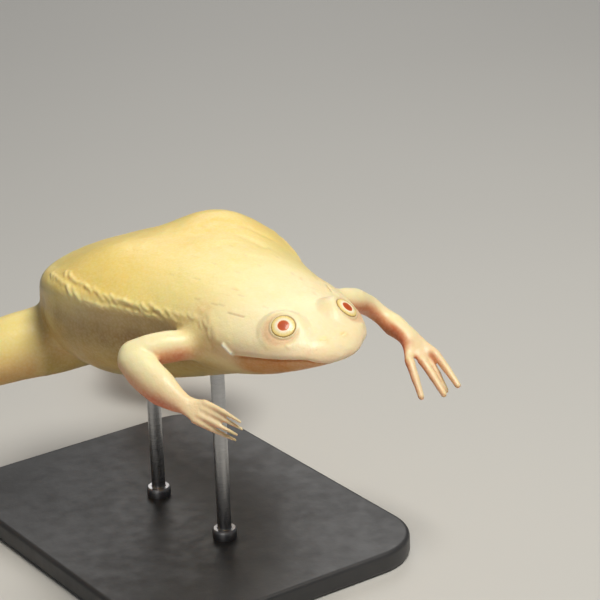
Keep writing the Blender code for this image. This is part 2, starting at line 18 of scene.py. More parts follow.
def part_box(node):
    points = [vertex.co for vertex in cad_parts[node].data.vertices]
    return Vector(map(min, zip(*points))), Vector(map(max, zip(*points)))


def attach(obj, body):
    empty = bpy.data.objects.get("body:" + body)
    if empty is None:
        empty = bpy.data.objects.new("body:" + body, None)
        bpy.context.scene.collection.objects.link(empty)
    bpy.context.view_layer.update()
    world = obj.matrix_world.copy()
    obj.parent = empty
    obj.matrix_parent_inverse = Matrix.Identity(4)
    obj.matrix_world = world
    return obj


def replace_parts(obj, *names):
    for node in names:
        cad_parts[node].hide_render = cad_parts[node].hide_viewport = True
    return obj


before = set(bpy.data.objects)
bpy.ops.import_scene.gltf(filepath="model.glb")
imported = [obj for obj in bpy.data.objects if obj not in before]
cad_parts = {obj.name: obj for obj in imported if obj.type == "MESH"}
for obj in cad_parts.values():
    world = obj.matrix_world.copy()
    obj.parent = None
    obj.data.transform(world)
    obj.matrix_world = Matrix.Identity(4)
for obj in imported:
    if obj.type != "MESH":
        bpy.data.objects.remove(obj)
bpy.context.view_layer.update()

SNOUT_VENT = 0.100
UNIT = SNOUT_VENT / 100.0

# Head and trunk: y, half width, height of the back, of the belly, and of the widest line
BODY = [
    (3.0, 0.0, 0.6, 0.6, 0.6),
    (3.6, 3.9, 2.0, -0.7, 0.7),
    (5.2, 6.8, 3.7, -1.9, 0.8),
    (8.4, 10.2, 5.1, -3.4, 0.9),
    (13.8, 13.4, 6.6, -5.6, 0.9),
    (20.8, 16.1, 7.9, -8.1, 0.8),
    (28.0, 17.6, 9.1, -10.3, 0.6),
    (36.0, 18.4, 10.0, -13.2, 0.6),
    (46.0, 20.8, 10.4, -17.0, 0.6),
    (58.0, 25.8, 10.0, -21.0, 0.2),
    (70.0, 28.4, 8.8, -23.8, -0.8),
    (80.0, 26.6, 6.2, -24.0, -2.0),
    (90.0, 21.0, 2.6, -20.6, -4.0),
    (96.4, 12.8, -1.8, -15.4, -6.6),
    (99.6, 7.2, -5.0, -12.4, -8.2),
    (100.8, 0.0, -8.8, -8.8, -8.8),
]
# How far in from the ends the first and the last ring lie, in rows
BODY_ENDS = (0.06, 0.02)
BODY_RINGS = 200
BODY_SIDES = 160
SECTION_POWER = 0.92

# Swellings of the body: x, y, z, radius, height. The right hip is held lower than the left
BODY_FORMS = [
    (7.6, 12.7, 6.2, 5.0, 1.0),
    (-7.6, 12.7, 6.2, 5.0, 1.0),
    (13.0, 67.6, 6.9, 10.4, 3.6),
    (-13.0, 67.6, 6.9, 10.4, 1.5),
]

# The mouth: height at the snout, fall for each unit backwards, and the dip of the upper lip in front
MOUTH_CORNER = 20.0
MOUTH_HEIGHT = 1.35
MOUTH_FALL = 0.078
MOUTH_DIP = (3.0, 1.6, 2.0)
LIP = 0.9
JAW_DEPTH = 9.0
GROOVE_DEPTH = 0.42

EYE_CENTRE = np.array((7.4, 12.5, 5.15))
EYE_RADIUS = 2.9
EYE_AXIS = (0.38, -0.49, 0.785)
# The eye's flat front: its radius, the height of its edge over the centre, and its rise in the middle
IRIS_RADIUS = 2.45
IRIS_EDGE = 1.6
IRIS_RISE = 0.42
PUPIL_DEPTH = 0.09
EYE_OPENING = 2.52
MOAT_RADIUS = 4.4
MOAT_DEPTH = 0.34
MOAT_EDGE = 1.5
MOAT_SHIFT = 0.8
EYE_COLLAR = (5.9, 2.8)
# The ring of painted shadow round the eye: where it begins and where it is full, from the axis
EYE_RIM_SHADE = (2.85, 2.6)
NOSTRIL = np.array((2.5, 5.6, 4.0))
TENTACLE_ROOT = np.array((9.2, 9.4, 3.7))
TENTACLE_AIM = (0.05, -0.80, -0.55)
TENTACLE_LENGTH = 1.3
TENTACLE_CURL = (0.0, -0.2, 0.1)
TENTACLE_RADIUS = ((-0.8, 0.0, 0.6, 0.86), (0.7, 0.5, 0.4, 0.32))

# Limb segments, each from the body outwards: x, y, z, half width, half depth
UPPER_ARM = {
    "right": [
        (-9.0, 29.6, -2.6, 4.0, 3.8), (-12.6, 30.5, -2.4, 3.8, 3.6),
        (-16.6, 32.0, -1.9, 3.4, 3.3), (-20.3, 33.5, -1.6, 3.4, 3.3),
        (-24.2, 35.2, -1.8, 3.4, 3.2), (-28.6, 37.2, -2.7, 3.4, 3.2),
    ],
    "left": [
        (10.0, 29.6, 0.0, 4.0, 3.8), (14.6, 30.5, 0.6, 3.6, 3.4),
        (21.1, 32.2, -1.6, 3.0, 2.9), (27.3, 34.0, -3.8, 2.9, 2.8),
        (31.4, 34.9, -6.2, 2.8, 2.6),
    ],
}
FOREARM = {
    "right": [
        (-29.4, 36.4, -3.3, 3.3, 3.2), (-29.0, 33.4, -4.6, 3.8, 3.3),
        (-28.5, 30.4, -6.0, 3.8, 3.0), (-27.9, 27.4, -7.3, 3.6, 2.8),
        (-27.2, 24.8, -8.4, 3.3, 2.5), (-26.8, 23.4, -8.9, 3.0, 2.2),
    ],
    "left": [
        (32.2, 34.8, -7.2, 2.7, 2.5), (33.8, 32.8, -9.0, 2.8, 2.5),
        (34.6, 30.2, -10.4, 2.9, 2.5), (35.2, 27.6, -11.4, 3.2, 2.4),
        (35.4, 25.6, -12.4, 3.2, 2.1),
    ],
}
ARM_SIDE = {"right": (-0.55, 0.30, -0.80), "left": (0.75, 0.1, -0.65)}

# The hand: the side its outer edge faces, the palm, and the tips of the fingers from the inner one
HAND_OUTER = {"right": (-0.85, -0.27, -0.45), "left": (0.93, 0.20, 0.25)}
HAND_AIM = {"right": (0.43, -0.86, -0.27), "left": (0.05, -0.76, -0.65)}
HAND_WIDTH = {"right": 0.86, "left": 1.2}
PALM = [(-1.4, 2.5, 1.8), (0.0, 2.5, 1.5), (0.9, 2.5, 1.25), (1.7, 2.3, 0.9), (2.5, 1.8, 0.5)]
FINGER_TIPS = {
    "right": [(-20.8, 9.0, -10.5), (-20.4, 9.0, -12.2), (-21.0, 10.0, -13.6), (-20.6, 11.2, -15.3)],
    "left": [(29.9, 15.0, -21.4), (34.7, 13.0, -21.4), (37.1, 15.4, -22.0), (37.8, 12.0, -19.8)],
}
# How far beyond the limb's last ring a hand or foot begins
ROOT_GAP = 0.3
FINGER_ROOT = 0.4
FINGER_SPACE = 1.35
FINGER_RADIUS = {"right": 0.9, "left": 1.18}
FINGER_TIP = {"right": 0.32, "left": 0.72}
FINGER_BOW = {"right": 0.15, "left": 0.5}
FINGER_SPREAD = {"right": 0.36, "left": 0.05}
FINGER_JOINTS = (0.36, 0.66)
FINGER_DEPTH = 0.94
# A knuckle of a finger and of a toe: how much thicker it is, and its reach as a share of the length
FINGER_KNUCKLE = (0.07, 0.05)
TOE_KNUCKLE = (0.12, 0.03)

THIGH = {
    "right": [
        (-12.0, 84.0, -15.4, 8.0, 7.8), (-20.0, 86.2, -16.4, 8.2, 7.8),
        (-28.0, 88.3, -16.9, 7.9, 7.2), (-36.0, 91.4, -18.7, 7.0, 6.2),
        (-43.0, 95.0, -20.8, 5.8, 5.2), (-47.4, 98.0, -22.4, 5.0, 4.8),
    ],
    "left": [
        (12.0, 84.0, -15.4, 8.0, 7.8), (20.0, 86.2, -16.4, 8.2, 7.8),
        (28.0, 88.6, -17.2, 7.9, 7.2), (35.6, 92.2, -19.4, 7.0, 6.2),
        (42.0, 96.4, -22.0, 5.8, 5.2), (46.0, 100.0, -24.0, 5.0, 4.8),
    ],
}
SHANK = {
    "right": [
        (-48.0, 99.0, -23.0, 4.8, 4.6), (-47.6, 104.6, -25.2, 6.0, 5.4),
        (-43.4, 111.6, -27.8, 6.4, 5.6), (-38.0, 119.6, -30.6, 5.2, 4.4),
        (-33.4, 127.2, -33.2, 3.7, 3.2),
    ],
    "left": [
        (46.6, 101.0, -24.6, 4.8, 4.6), (45.8, 106.6, -27.0, 6.0, 5.4),
        (41.4, 113.4, -29.8, 6.4, 5.6), (35.8, 121.0, -32.8, 5.2, 4.4),
        (31.0, 128.4, -35.6, 3.7, 3.2),
    ],
}
TARSUS = {
    "right": [
        (-33.0, 128.0, -33.5, 3.4, 3.0), (-34.0, 133.2, -35.2, 3.4, 2.7),
        (-37.6, 138.6, -37.0, 3.3, 2.4), (-42.0, 143.4, -38.8, 3.5, 2.2),
    ],
    "left": [
        (30.6, 129.2, -35.9, 3.4, 3.0), (31.2, 134.6, -37.8, 3.4, 2.7),
        (34.2, 140.2, -40.0, 3.3, 2.4), (38.2, 145.2, -42.2, 3.5, 2.2),
    ],
}
LEG_SIDE = (0.0, 0.35, 1.0)

FOOT_AIM = {"right": (-0.70, 0.68, -0.20), "left": (0.62, 0.72, -0.22)}
FOOT_OUTER = {"right": (0.62, 0.76, 0.0), "left": (-0.72, 0.68, -0.05)}
# Toes from the inner to the outer: turn outwards in degrees, length
TOES = [(-42.0, 20.0), (-25.0, 27.0), (-7.0, 35.0), (12.0, 41.0), (31.0, 36.0)]
TOE_SPACE = 1.35
TOE_RADIUS = 1.35
TOE_TIP = 0.8
TOE_JOINTS = ((0.52,), (0.5,), (0.4, 0.72), (0.34, 0.58, 0.8), (0.4, 0.7))
TOE_DEPTH = 0.92
TOE_ARCH = 0.5
WEB_THICKNESS = 0.6
WEB_REACH = 0.76
WEB_SAG = 0.9
WEB_PLEAT = 0.16
PLEATS = 5
CLAWED_TOES = 3
CLAW_LENGTH = 3.2
CLAW_RADIUS = 0.78
CLAW_HOOK = 0.7

# How the skin is eased where two lengths of a limb meet: reach and strength
SHOULDER_EASE = (7.5, 0.7)
ELBOW_EASE = {"right": (3.6, 0.22), "left": (5.4, 0.6)}
WRIST_EASE = {"right": (4.4, 0.5), "left": (4.6, 0.55)}
HIP_EASE = (13.0, 0.7)
KNEE_EASE = (6.0, 0.6)
HEEL_EASE = (4.4, 0.6)
ANKLE_EASE = (4.6, 0.5)

# The size of the skin's first faces, and the part of the head where they are halved: to the back and side
VOXEL = 0.28
HEAD_DETAIL = 25.0
HEAD_HALF = 17.5

# The lateral line on the frog's left flank, as two rows of places, from behind forwards
LINE_UPPER = [
    (24.3, 71.5, 4.6), (24.6, 66.0, 4.4), (24.0, 57.6, 3.8), (22.1, 51.8, 3.4), (19.9, 46.1, 3.4),
    (18.5, 40.7, 3.6), (17.5, 35.9, 3.9), (16.6, 30.4, 4.3), (16.8, 27.6, 3.4), (16.9, 25.2, 1.8),
]
LINE_LOWER = [
    (24.6, 76.0, 2.4), (25.9, 69.0, 2.8), (26.0, 62.0, 2.2), (25.0, 56.6, 1.6),
    (22.5, 51.5, 1.8), (20.4, 45.5, 2.0), (18.7, 40.4, 2.4), (17.5, 35.6, 3.0),
]
LINE_ROWS = ((LINE_UPPER, 1.75), (LINE_LOWER, 1.95))
LINE_STRENGTH = {1: 0.5, -1: 1.0}
LINE_RIDGE = 0.16
WELT_HEIGHT = 0.28
WELT_HOLLOW = 0.10
# Least and most of a welt's slant in degrees, its length, width and strength
WELT_SLANT = (6, 30)
WELT_LENGTH = (1.4, 2.4)
WELT_WIDTH = (0.34, 0.46)
WELT_STRENGTH = (0.5, 1.0)
# Single stitches on the frog's left: middle x, y, z, turn from the midline in degrees, length, strength
STITCHES = [
    (12.0, 23.2, 6.4, 19.0, 3.9, 1.0), (12.8, 29.8, 7.0, 15.0, 1.5, 0.6),
    (12.2, 28.2, 7.1, 14.0, 1.3, 0.5), (7.4, 30.0, 8.7, 20.0, 1.3, 0.5),
    (7.7, 27.3, 8.3, 22.0, 1.2, 0.5), (3.0, 36.1, 9.9, 10.0, 1.4, 0.35),
    (4.2, 43.0, 10.4, 8.0, 1.3, 0.35), (5.0, 49.5, 10.4, 6.0, 1.3, 0.35),
    (10.6, 40.0, 9.6, 14.0, 1.2, 0.4), (14.2, 34.6, 7.2, 18.0, 1.3, 0.5),
    (12.8, 46.4, 9.4, 10.0, 1.2, 0.35), (6.4, 20.4, 8.0, 16.0, 1.0, 0.3),
]
STITCH_DEPTH = 0.11
STITCH_WIDTH = 0.3
# Folds of loose skin behind each cheek, on the frog's left: their places, height and width
CHEEK_FOLDS = [
    (
        [(15.6, 31.0, 6.6), (16.3, 30.1, 4.7), (16.7, 28.4, 3.2), (16.9, 25.9, 1.6), (16.7, 23.4, 0.0)],
        -0.12, 1.5,
    ),
    ([(15.4, 28.0, 5.2), (15.9, 26.0, 3.6), (16.1, 24.0, 2.2)], 0.14, 0.8),
    ([(16.4, 21.6, 1.3), (16.1, 20.6, 0.6), (15.8, 19.6, -0.1)], 0.42, 0.45),
    ([(17.4, 25.4, 0.6), (17.2, 22.6, -1.2), (16.2, 20.0, -2.6)], -0.24, 0.9),
    ([(18.4, 34.6, 1.0), (18.0, 37.4, -1.4), (18.6, 40.0, -4.0)], -0.4, 0.9),
]
# Folds across the far side of the hump
HUMP_FOLDS = [
    (
        [(5.4, 62.7, 11.1), (8.6, 62.7, 11.3), (12.1, 60.3, 10.8), (14.6, 58.1, 9.8), (18.1, 52.4, 7.2)],
        -0.2, 1.1,
    ),
    (
        [(3.4, 59.7, 10.8), (7.0, 59.2, 10.8), (9.6, 56.6, 10.4), (11.0, 52.8, 9.7), (11.5, 47.5, 9.2)],
        -0.12, 1.2,
    ),
]
# The flank: where it comes in and goes out along the body, and how far out it begins, as a share
FLANK_IN = (34.0, 50.0)
FLANK_OUT = (92.0, 78.0)
FLANK_BEYOND = (0.8, 0.92)
# The height of the flank's line at places along the body, and its ledge and hollow, each with its
# height, how far below the line it is, and its width
SIDE_LINE = ((34.0, 46.0, 58.0, 70.0, 80.0), (2.8, 2.2, 1.6, 1.8, 1.2))
FLANK_FORMS = ((0.7, -0.8, 2.0), (-1.0, 4.2, 3.0))
# Unevenness of the skin, height and size: on the trunk, all over, finest, and in the cheek's folds
LUMPS = ((0.10, 5.0), (0.05, 2.2), (0.022, 0.9), (0.14, 1.5))

# Where the skin of the limbs begins: behind the vent, beyond the body's sides, and at the thighs' roots,
# below, behind and outside
LIMB_BEHIND = (101.0, 103.0)
LIMB_BEYOND = (-1.5, 4.0)
THIGH_ROOT = ((-17.0, -20.0), (80.0, 90.0), (14.0, 20.0))
ARM_END = 60.0
# Tints that come in along the body: the part they are on, where they begin and where they are full
TINT_SPANS = (
    ("hand", "limb", 31.0, 20.0),
    ("leg", "limb", 70.0, 84.0),
    ("foot", "skin", 136.0, 152.0),
    ("face", "trunk", 46.0, 12.0),
)


def unit(vectors):
    vectors = np.asarray(vectors, float)
    return vectors / np.maximum(np.linalg.norm(vectors, axis=-1, keepdims=True), 1e-9)


def ramp(low, high, values):
    """0 where the values are at low, 1 where they are at high, smooth between."""
    share = np.clip((values - low) / (high - low), 0.0, 1.0)
    return share * share * (3.0 - 2.0 * share)


def hill(away, width):
    return np.exp(-((away / width) ** 2))


def mirrored(place, side):
    """A place or way given for the frog's left, on the side that is 1 for left and -1 for right."""
    return np.array(place) * (side, 1, 1)


def square_to(way, aim):
    return unit(way - aim * (way @ aim))


def downwards(way):
    return way if way[2] < 0 else -way


def nearest(points, place):
    """The number of the point nearest to a place."""
    return np.argmin(np.linalg.norm(points - place, axis=1))


def rounded_power(values, power):
    return np.sign(values) * np.abs(values) ** power


def smooth_rows(rows, amounts):
    """Rows of numbers read at amounts from 0 to len(rows) - 1, along one smooth curve through them."""
    table = np.asarray(rows, float)
    amounts = np.asarray(amounts, float)
    reach = np.linalg.norm(np.diff(table[:, :3], axis=0), axis=1)
    knots = np.concatenate([[0.0], np.cumsum(np.sqrt(reach))])
    place = np.arange(len(table))
    before, after = np.maximum(place - 1, 0), np.minimum(place + 1, len(table) - 1)
    slope = (table[after] - table[before]) / (knots[after] - knots[before])[:, None]
    i = np.minimum(amounts.astype(int), len(table) - 2)
    t = (amounts - i)[:, None]
    step = (knots[i + 1] - knots[i])[:, None]
    return (
        (2 * t**3 - 3 * t**2 + 1) * table[i]
        + (t**3 - 2 * t**2 + t) * step * slope[i]
        + (3 * t**2 - 2 * t**3) * table[i + 1]
        + (t**3 - t**2) * step * slope[i + 1]
    )


def closed_rings(rings, start, end):
    """Points and faces of a closed surface over rings of points, with one point at each end."""
    rows, sides, _ = rings.shape
    points = np.vstack([rings.reshape(-1, 3), [start], [end]])
    k = np.arange(sides)
    after = (k + 1) % sides
    base = (np.arange(rows - 1) * sides)[:, None]
    quads = np.stack([base + k, base + after, base + sides + after, base + sides + k], -1).reshape(-1, 4)
    first, last = rows * sides, rows * sides + 1
    back = (rows - 1) * sides
    faces = quads.tolist()
    faces += [[int(b), int(a), first] for a, b in zip(k, after)]
    faces += [[back + int(a), back + int(b), last] for a, b in zip(k, after)]
    return points, faces


def ovals(centres, along, side_hint, half_wide, half_deep, sides):
    """Rings of points round centres, square to the ways along."""
    centres, along = np.atleast_2d(centres), np.atleast_2d(along)
    hint = np.asarray(side_hint, float)
    wide = unit(hint - along * (along @ hint)[:, None])
    deep = np.cross(along, wide)
    turn = np.linspace(0, 2 * math.pi, sides, endpoint=False)
    half_wide, half_deep = np.atleast_1d(half_wide)[:, None], np.atleast_1d(half_deep)[:, None]
    return (
        centres[:, None]
        + wide[:, None] * (half_wide * np.cos(turn))[..., None]
        + deep[:, None] * (half_deep * np.sin(turn))[..., None]
    )


def tube(centres, half_wide, half_deep, side_hint, sides):
    """A closed tube along centres, with a round end beyond its first and last ring."""
    along = unit(np.gradient(centres, axis=0))
    rings = ovals(centres, along, side_hint, half_wide, half_deep, sides)
    turns = np.radians((20, 40, 60, 78))
    caps = []
    for i, way in ((0, -1.0), (-1, 1.0)):
        reach = way * along[i] * (half_wide[i] + half_deep[i]) / 2
        middles = centres[i] + reach * np.sin(turns)[:, None]
        ways = np.repeat(along[i][None], len(turns), axis=0)
        wide, deep = half_wide[i] * np.cos(turns), half_deep[i] * np.cos(turns)
        caps.append((ovals(middles, ways, side_hint, wide, deep, sides), centres[i] + reach))
    (start_rings, start), (end_rings, end) = caps
    return closed_rings(np.concatenate([start_rings[::-1], rings, end_rings]), start, end)


def limb(rows, side_hint, count=60, sides=48):
    table = smooth_rows(rows, np.linspace(0, len(rows) - 1, count))
    return tube(table[:, :3], table[:, 3], table[:, 4], side_hint, sides)


def body_surface():
    """Head and trunk in one, as in the solids."""
    first, last = BODY_ENDS
    rows = smooth_rows(BODY, np.linspace(first, len(BODY) - 1 - last, BODY_RINGS))
    y, half, top, bottom, middle = rows.T[:, :, None]
    turn = np.linspace(0, 2 * math.pi, BODY_SIDES, endpoint=False)
    across, high = (rounded_power(f(turn), SECTION_POWER)[None] for f in (np.cos, np.sin))
    reach = np.where(high > 0, top - middle, middle - bottom)
    points = np.stack([half * across, y + 0 * across, middle + reach * high], -1)
    out = unit(np.stack([across * reach, 0 * reach, high * half], -1))
    lift = np.zeros(points.shape[:2])
    for *place, radius, height in BODY_FORMS:
        lift += height * hill(np.linalg.norm(points - np.array(place), axis=-1), radius)
    points += out * lift[..., None]
    start, end = BODY[0], BODY[-1]
    return closed_rings(points, (0.0, start[0], start[4]), (0.0, end[0], end[4]))


def knuckled(radius, t, joints, knuckle):
    """A finger's or toe's radius at the shares t of its length, thicker at its joints."""
    swell, reach = knuckle
    for joint in joints:
        radius = radius * (1.0 + swell * hill(t - joint, reach))
    return radius


def hand_surfaces(side):
    """The palm and four long fingers of one hand."""
    rows = FOREARM[side]
    near = smooth_rows(rows, [len(rows) - 1.05, len(rows) - 1.0])[:, :3]
    start = near[1] + unit(near[1] - near[0]) * ROOT_GAP
    aim = unit(HAND_AIM[side])
    outer = square_to(np.array(HAND_OUTER[side]), aim)
    broad = HAND_WIDTH[side]
    rows = [(forward, 0, 0, broad * wide, deep) for forward, wide, deep in PALM]
    table = smooth_rows(rows, np.linspace(0, len(rows) - 1, 24))
    made = [tube(start + aim * table[:, :1], table[:, 3], table[:, 4], outer, 32)]
    thick, thin = FINGER_RADIUS[side], FINGER_TIP[side]
    for k, tip in enumerate(FINGER_TIPS[side]):
        place = k - (len(FINGER_TIPS[side]) - 1) / 2
        root = start + aim * FINGER_ROOT + outer * (broad * FINGER_SPACE * place)
        bow = np.array((0, 0, FINGER_BOW[side])) + outer * (broad * FINGER_SPREAD[side] * place)
        t = np.linspace(0.0, 0.97, 34)
        centres = root + (np.array(tip) - root) * t[:, None] + bow * np.sin(math.pi * t)[:, None]
        radius = knuckled(thick + (thin - thick) * t**1.3, t, FINGER_JOINTS, FINGER_KNUCKLE)
        made.append(tube(centres, radius, radius * FINGER_DEPTH, outer, 20))
    return made


def toe_frame(side):
    aim = unit(FOOT_AIM[side])
    outer = square_to(np.array(FOOT_OUTER[side]), aim)
    heel = np.array(TARSUS[side][-1][:3]) + aim * ROOT_GAP
    return aim, outer, -downwards(unit(np.cross(outer, aim))), heel


def toe_points(side, k, t):
    """Places along toe k of a foot, at the shares t of its length."""
    aim, outer, top, heel = toe_frame(side)
    turn, length = math.radians(TOES[k][0]), TOES[k][1]
    way = aim * math.cos(turn) + outer * math.sin(turn)
    t = np.asarray(t, float)[..., None]
    arch = top * (TOE_ARCH * np.sin(math.pi * t))
    return heel + outer * (TOE_SPACE * (k - 2)) + way * (length * t) + arch


def foot_surfaces(side):
    """Five jointed toes and the webs between them."""
    _, outer, top, _ = toe_frame(side)
    made = []
    for k, joints in enumerate(TOE_JOINTS):
        t = np.linspace(-0.02, 0.985, 60)
        radius = TOE_RADIUS + (TOE_TIP - TOE_RADIUS) * np.clip(t, 0, 1)
        radius = knuckled(radius, t, joints, TOE_KNUCKLE)
        made.append(tube(toe_points(side, k, t), radius, radius * TOE_DEPTH, outer, 24))
    for k in range(len(TOES) - 1):
        share = np.linspace(0.0, 1.0, 40)[:, None]
        slack = np.sin(math.pi * share)
        t = np.linspace(0.02, 1.0, 90)[None] * (1.0 - (1.0 - WEB_REACH) * slack)
        here, there = toe_points(side, k, t), toe_points(side, k + 1, t)
        sheet = here + (there - here) * share[..., None]
        sag = WEB_SAG * slack * np.sin(math.pi * np.clip(t, 0, 1)) ** 0.7
        pleats = WEB_PLEAT * slack * np.sin(PLEATS * math.pi * share + 1.3 * k) * t
        sheet = sheet - top * (sag + pleats)[..., None]
        made.append(closed_sheet(sheet, top * (WEB_THICKNESS / 2)))
    return made


def closed_sheet(grid, half):
    """A thin closed sheet over a grid of points."""
    wide, long, _ = grid.shape
    points = np.vstack([(grid + half).reshape(-1, 3), (grid - half).reshape(-1, 3)])
    index = np.arange(wide * long).reshape(wide, long)
    quads = np.stack([index[:-1, :-1], index[1:, :-1], index[1:, 1:], index[:-1, 1:]], -1).reshape(-1, 4)
    faces = quads.tolist() + (quads[:, ::-1] + wide * long).tolist()
    edge = np.concatenate([index[:, 0], index[-1, 1:], index[-2::-1, -1], index[0, -2:0:-1]])
    after = np.roll(edge, -1)
    faces += np.stack([after, edge, edge + wide * long, after + wide * long], 1).tolist()
    return points, faces


def tentacle_surface(side):
    """The short feeler below an eye."""
    t = np.linspace(-0.8, 0.86, 16)
    along = unit(TENTACLE_AIM) * TENTACLE_LENGTH * t[:, None]
    curl = np.array(TENTACLE_CURL) * (t**2)[:, None]
    radius = np.interp(t, *TENTACLE_RADIUS)
    return tube(mirrored(TENTACLE_ROOT + along + curl, side), radius, radius, (0, 0, 1), 16)


def fused_mesh():
    """All the flesh as one closed mesh, finer on the head."""
    surfaces = [body_surface()]
    for side in ("right", "left"):
        surfaces += [limb(rows[side], ARM_SIDE[side]) for rows in (UPPER_ARM, FOREARM)]
        surfaces += [limb(rows[side], LEG_SIDE, 70, 64) for rows in (THIGH, SHANK, TARSUS)]
        surfaces += hand_surfaces(side) + foot_surfaces(side)
    surfaces += [tentacle_surface(side) for side in (1, -1)]
    lofts = [bpy.data.objects.new("loft", mesh_of("loft", *surface)) for surface in surfaces]
    group = bpy.data.collections.new("lofts")
    for loft in lofts[1:]:
        group.objects.link(loft)
    bpy.context.scene.collection.objects.link(lofts[0])
    bpy.context.scene.collection.children.link(group)
    join = lofts[0].modifiers.new("join", "BOOLEAN")
    join.operation = "UNION"
    join.operand_type = "COLLECTION"
    join.collection = group
    join.solver = "MANIFOLD"
    fuse = lofts[0].modifiers.new("fuse", "REMESH")
    fuse.mode = "VOXEL"
    fuse.voxel_size = VOXEL
    bpy.context.view_layer.update()
    graph = bpy.context.evaluated_depsgraph_get()
    mesh = bpy.data.meshes.new_from_object(lofts[0].evaluated_get(graph))
    for loft in lofts:
        bpy.data.objects.remove(loft)
    bpy.data.collections.remove(group)
    shell = shells(mesh)
    main = np.bincount(shell).argmax()
    bm = bmesh.new()
    bm.from_mesh(mesh)
    loose = [v for v, number in zip(bm.verts, shell) if number != main]
    bmesh.ops.delete(bm, geom=loose, context="VERTS")
    fine = [e for e in bm.edges if all(v.co.y < HEAD_DETAIL and abs(v.co.x) < HEAD_HALF for v in e.verts)]
    bmesh.ops.subdivide_edges(bm, edges=fine, cuts=1, use_grid_fill=True)
    bm.to_mesh(mesh)
    bm.free()
    return mesh


def mesh_of(name, points, faces):
    """A smooth mesh from points and faces, its faces pointing out."""
    mesh = bpy.data.meshes.new(name)
    mesh.from_pydata(np.asarray(points).tolist(), [], faces)
    bm = bmesh.new()
    bm.from_mesh(mesh)
    bmesh.ops.recalc_face_normals(bm, faces=bm.faces)
    bm.to_mesh(mesh)
    bm.free()
    mesh.shade_smooth()
    return mesh


def edge_ends(mesh):
    pairs = np.empty(len(mesh.edges) * 2, int)
    mesh.edges.foreach_get("vertices", pairs)
    return pairs.reshape(-1, 2)


def shells(mesh):
    """A number for each point of a mesh, the same all over one closed shell of it."""
    a, b = edge_ends(mesh).T
    number = np.arange(len(mesh.vertices))
    before = None
    while before is None or (number != before).any():
        before = number.copy()
        low = np.minimum(number[a], number[b])
        np.minimum.at(number, a, low)
        np.minimum.at(number, b, low)
        number = number[number]
    return number


def of_points(mesh, name):
    """The places or the normals of a mesh's points."""
    flat = np.empty(len(mesh.vertices) * 3)
    mesh.vertices.foreach_get(name, flat)
    return flat.reshape(-1, 3)


def move_points(mesh, points):
    mesh.vertices.foreach_set("co", points.ravel())
    mesh.update()


def eased(mesh, points, weight, rounds):
    """Moves each point towards the middle of its neighbours by its weight, round after round."""
    pairs = edge_ends(mesh)
    weight = np.where(weight > 0.01, weight, 0.0)
    a, b = pairs[weight[pairs].max(axis=1) > 0.0].T
    size = len(points)
    count = np.maximum(np.bincount(a, minlength=size) + np.bincount(b, minlength=size), 1)
    for _ in range(rounds):
        total = [np.bincount(a, line[b], size) + np.bincount(b, line[a], size) for line in points.T]
        middle = np.stack(total, 1) / count[:, None]
        points = points + weight[:, None] * (middle - points)
    return points


def noise(points, size, seed):
    """Smooth random heights from -1 to 1, in lumps of about the given size."""
    table = np.random.default_rng(seed).uniform(-1, 1, 4096)
    cell = np.floor(points / size).astype(np.int64)
    t = points / size - cell
    t = t * t * (3.0 - 2.0 * t)
    total = np.zeros(len(points))
    for corner in itertools.product((0, 1), repeat=3):
        key = (cell + corner) @ np.array((73856093, 19349663, 83492791)) & 4095
        total += np.prod(np.where(np.array(corner) == 1, t, 1.0 - t), axis=1) * table[key]
    return total


def joint_weight(points):
    """How strongly the skin is eased at each point: most where the lofts meet."""
    weight = np.zeros(len(points))
    for side in ("right", "left"):
        places = [
            (UPPER_ARM[side][1], *SHOULDER_EASE),
            (UPPER_ARM[side][-1], *ELBOW_EASE[side]),
            (FOREARM[side][-1], *WRIST_EASE[side]),
            (THIGH[side][1], *HIP_EASE),
            (THIGH[side][-1], *KNEE_EASE),
            (SHANK[side][-1], *HEEL_EASE),
            (TARSUS[side][-1], *ANKLE_EASE),
        ]
        for row, radius, most in places:
            away = np.linalg.norm(points - np.array(row[:3]), axis=1)
            weight = np.maximum(weight, most * ramp(1.35 * radius, 0.7 * radius, away))
    return weight


def eye_places(points, side):
    """Each point as seen from an eye: out along its axis, forwards and down across it, and the axis."""
    axis = unit(mirrored(EYE_AXIS, side))
    across = unit(np.cross(axis, (0, 0, 1.0)) * side)
    down = downwards(np.cross(axis, across))
    from_eye = points - mirrored(EYE_CENTRE, side)
    return from_eye @ axis, from_eye @ across, from_eye @ down, axis


def near_path(points, path):
    """Distance of each point from a path."""
    best = np.full(len(points), 1e9)
    path = np.asarray(path, float)
    for a, b in zip(path, path[1:]):
        way = b - a
        t = np.clip(((points - a) @ way) / (way @ way), 0.0, 1.0)
        best = np.minimum(best, np.linalg.norm(points - a - t[:, None] * way, axis=1))
    return best


def mouth_line(y):
    """Height of the mouth at y: it falls towards its corner, and the lip hangs lower in front."""
    place, width, depth = MOUTH_DIP
    return MOUTH_HEIGHT - MOUTH_FALL * y - depth * hill(y - place, width)


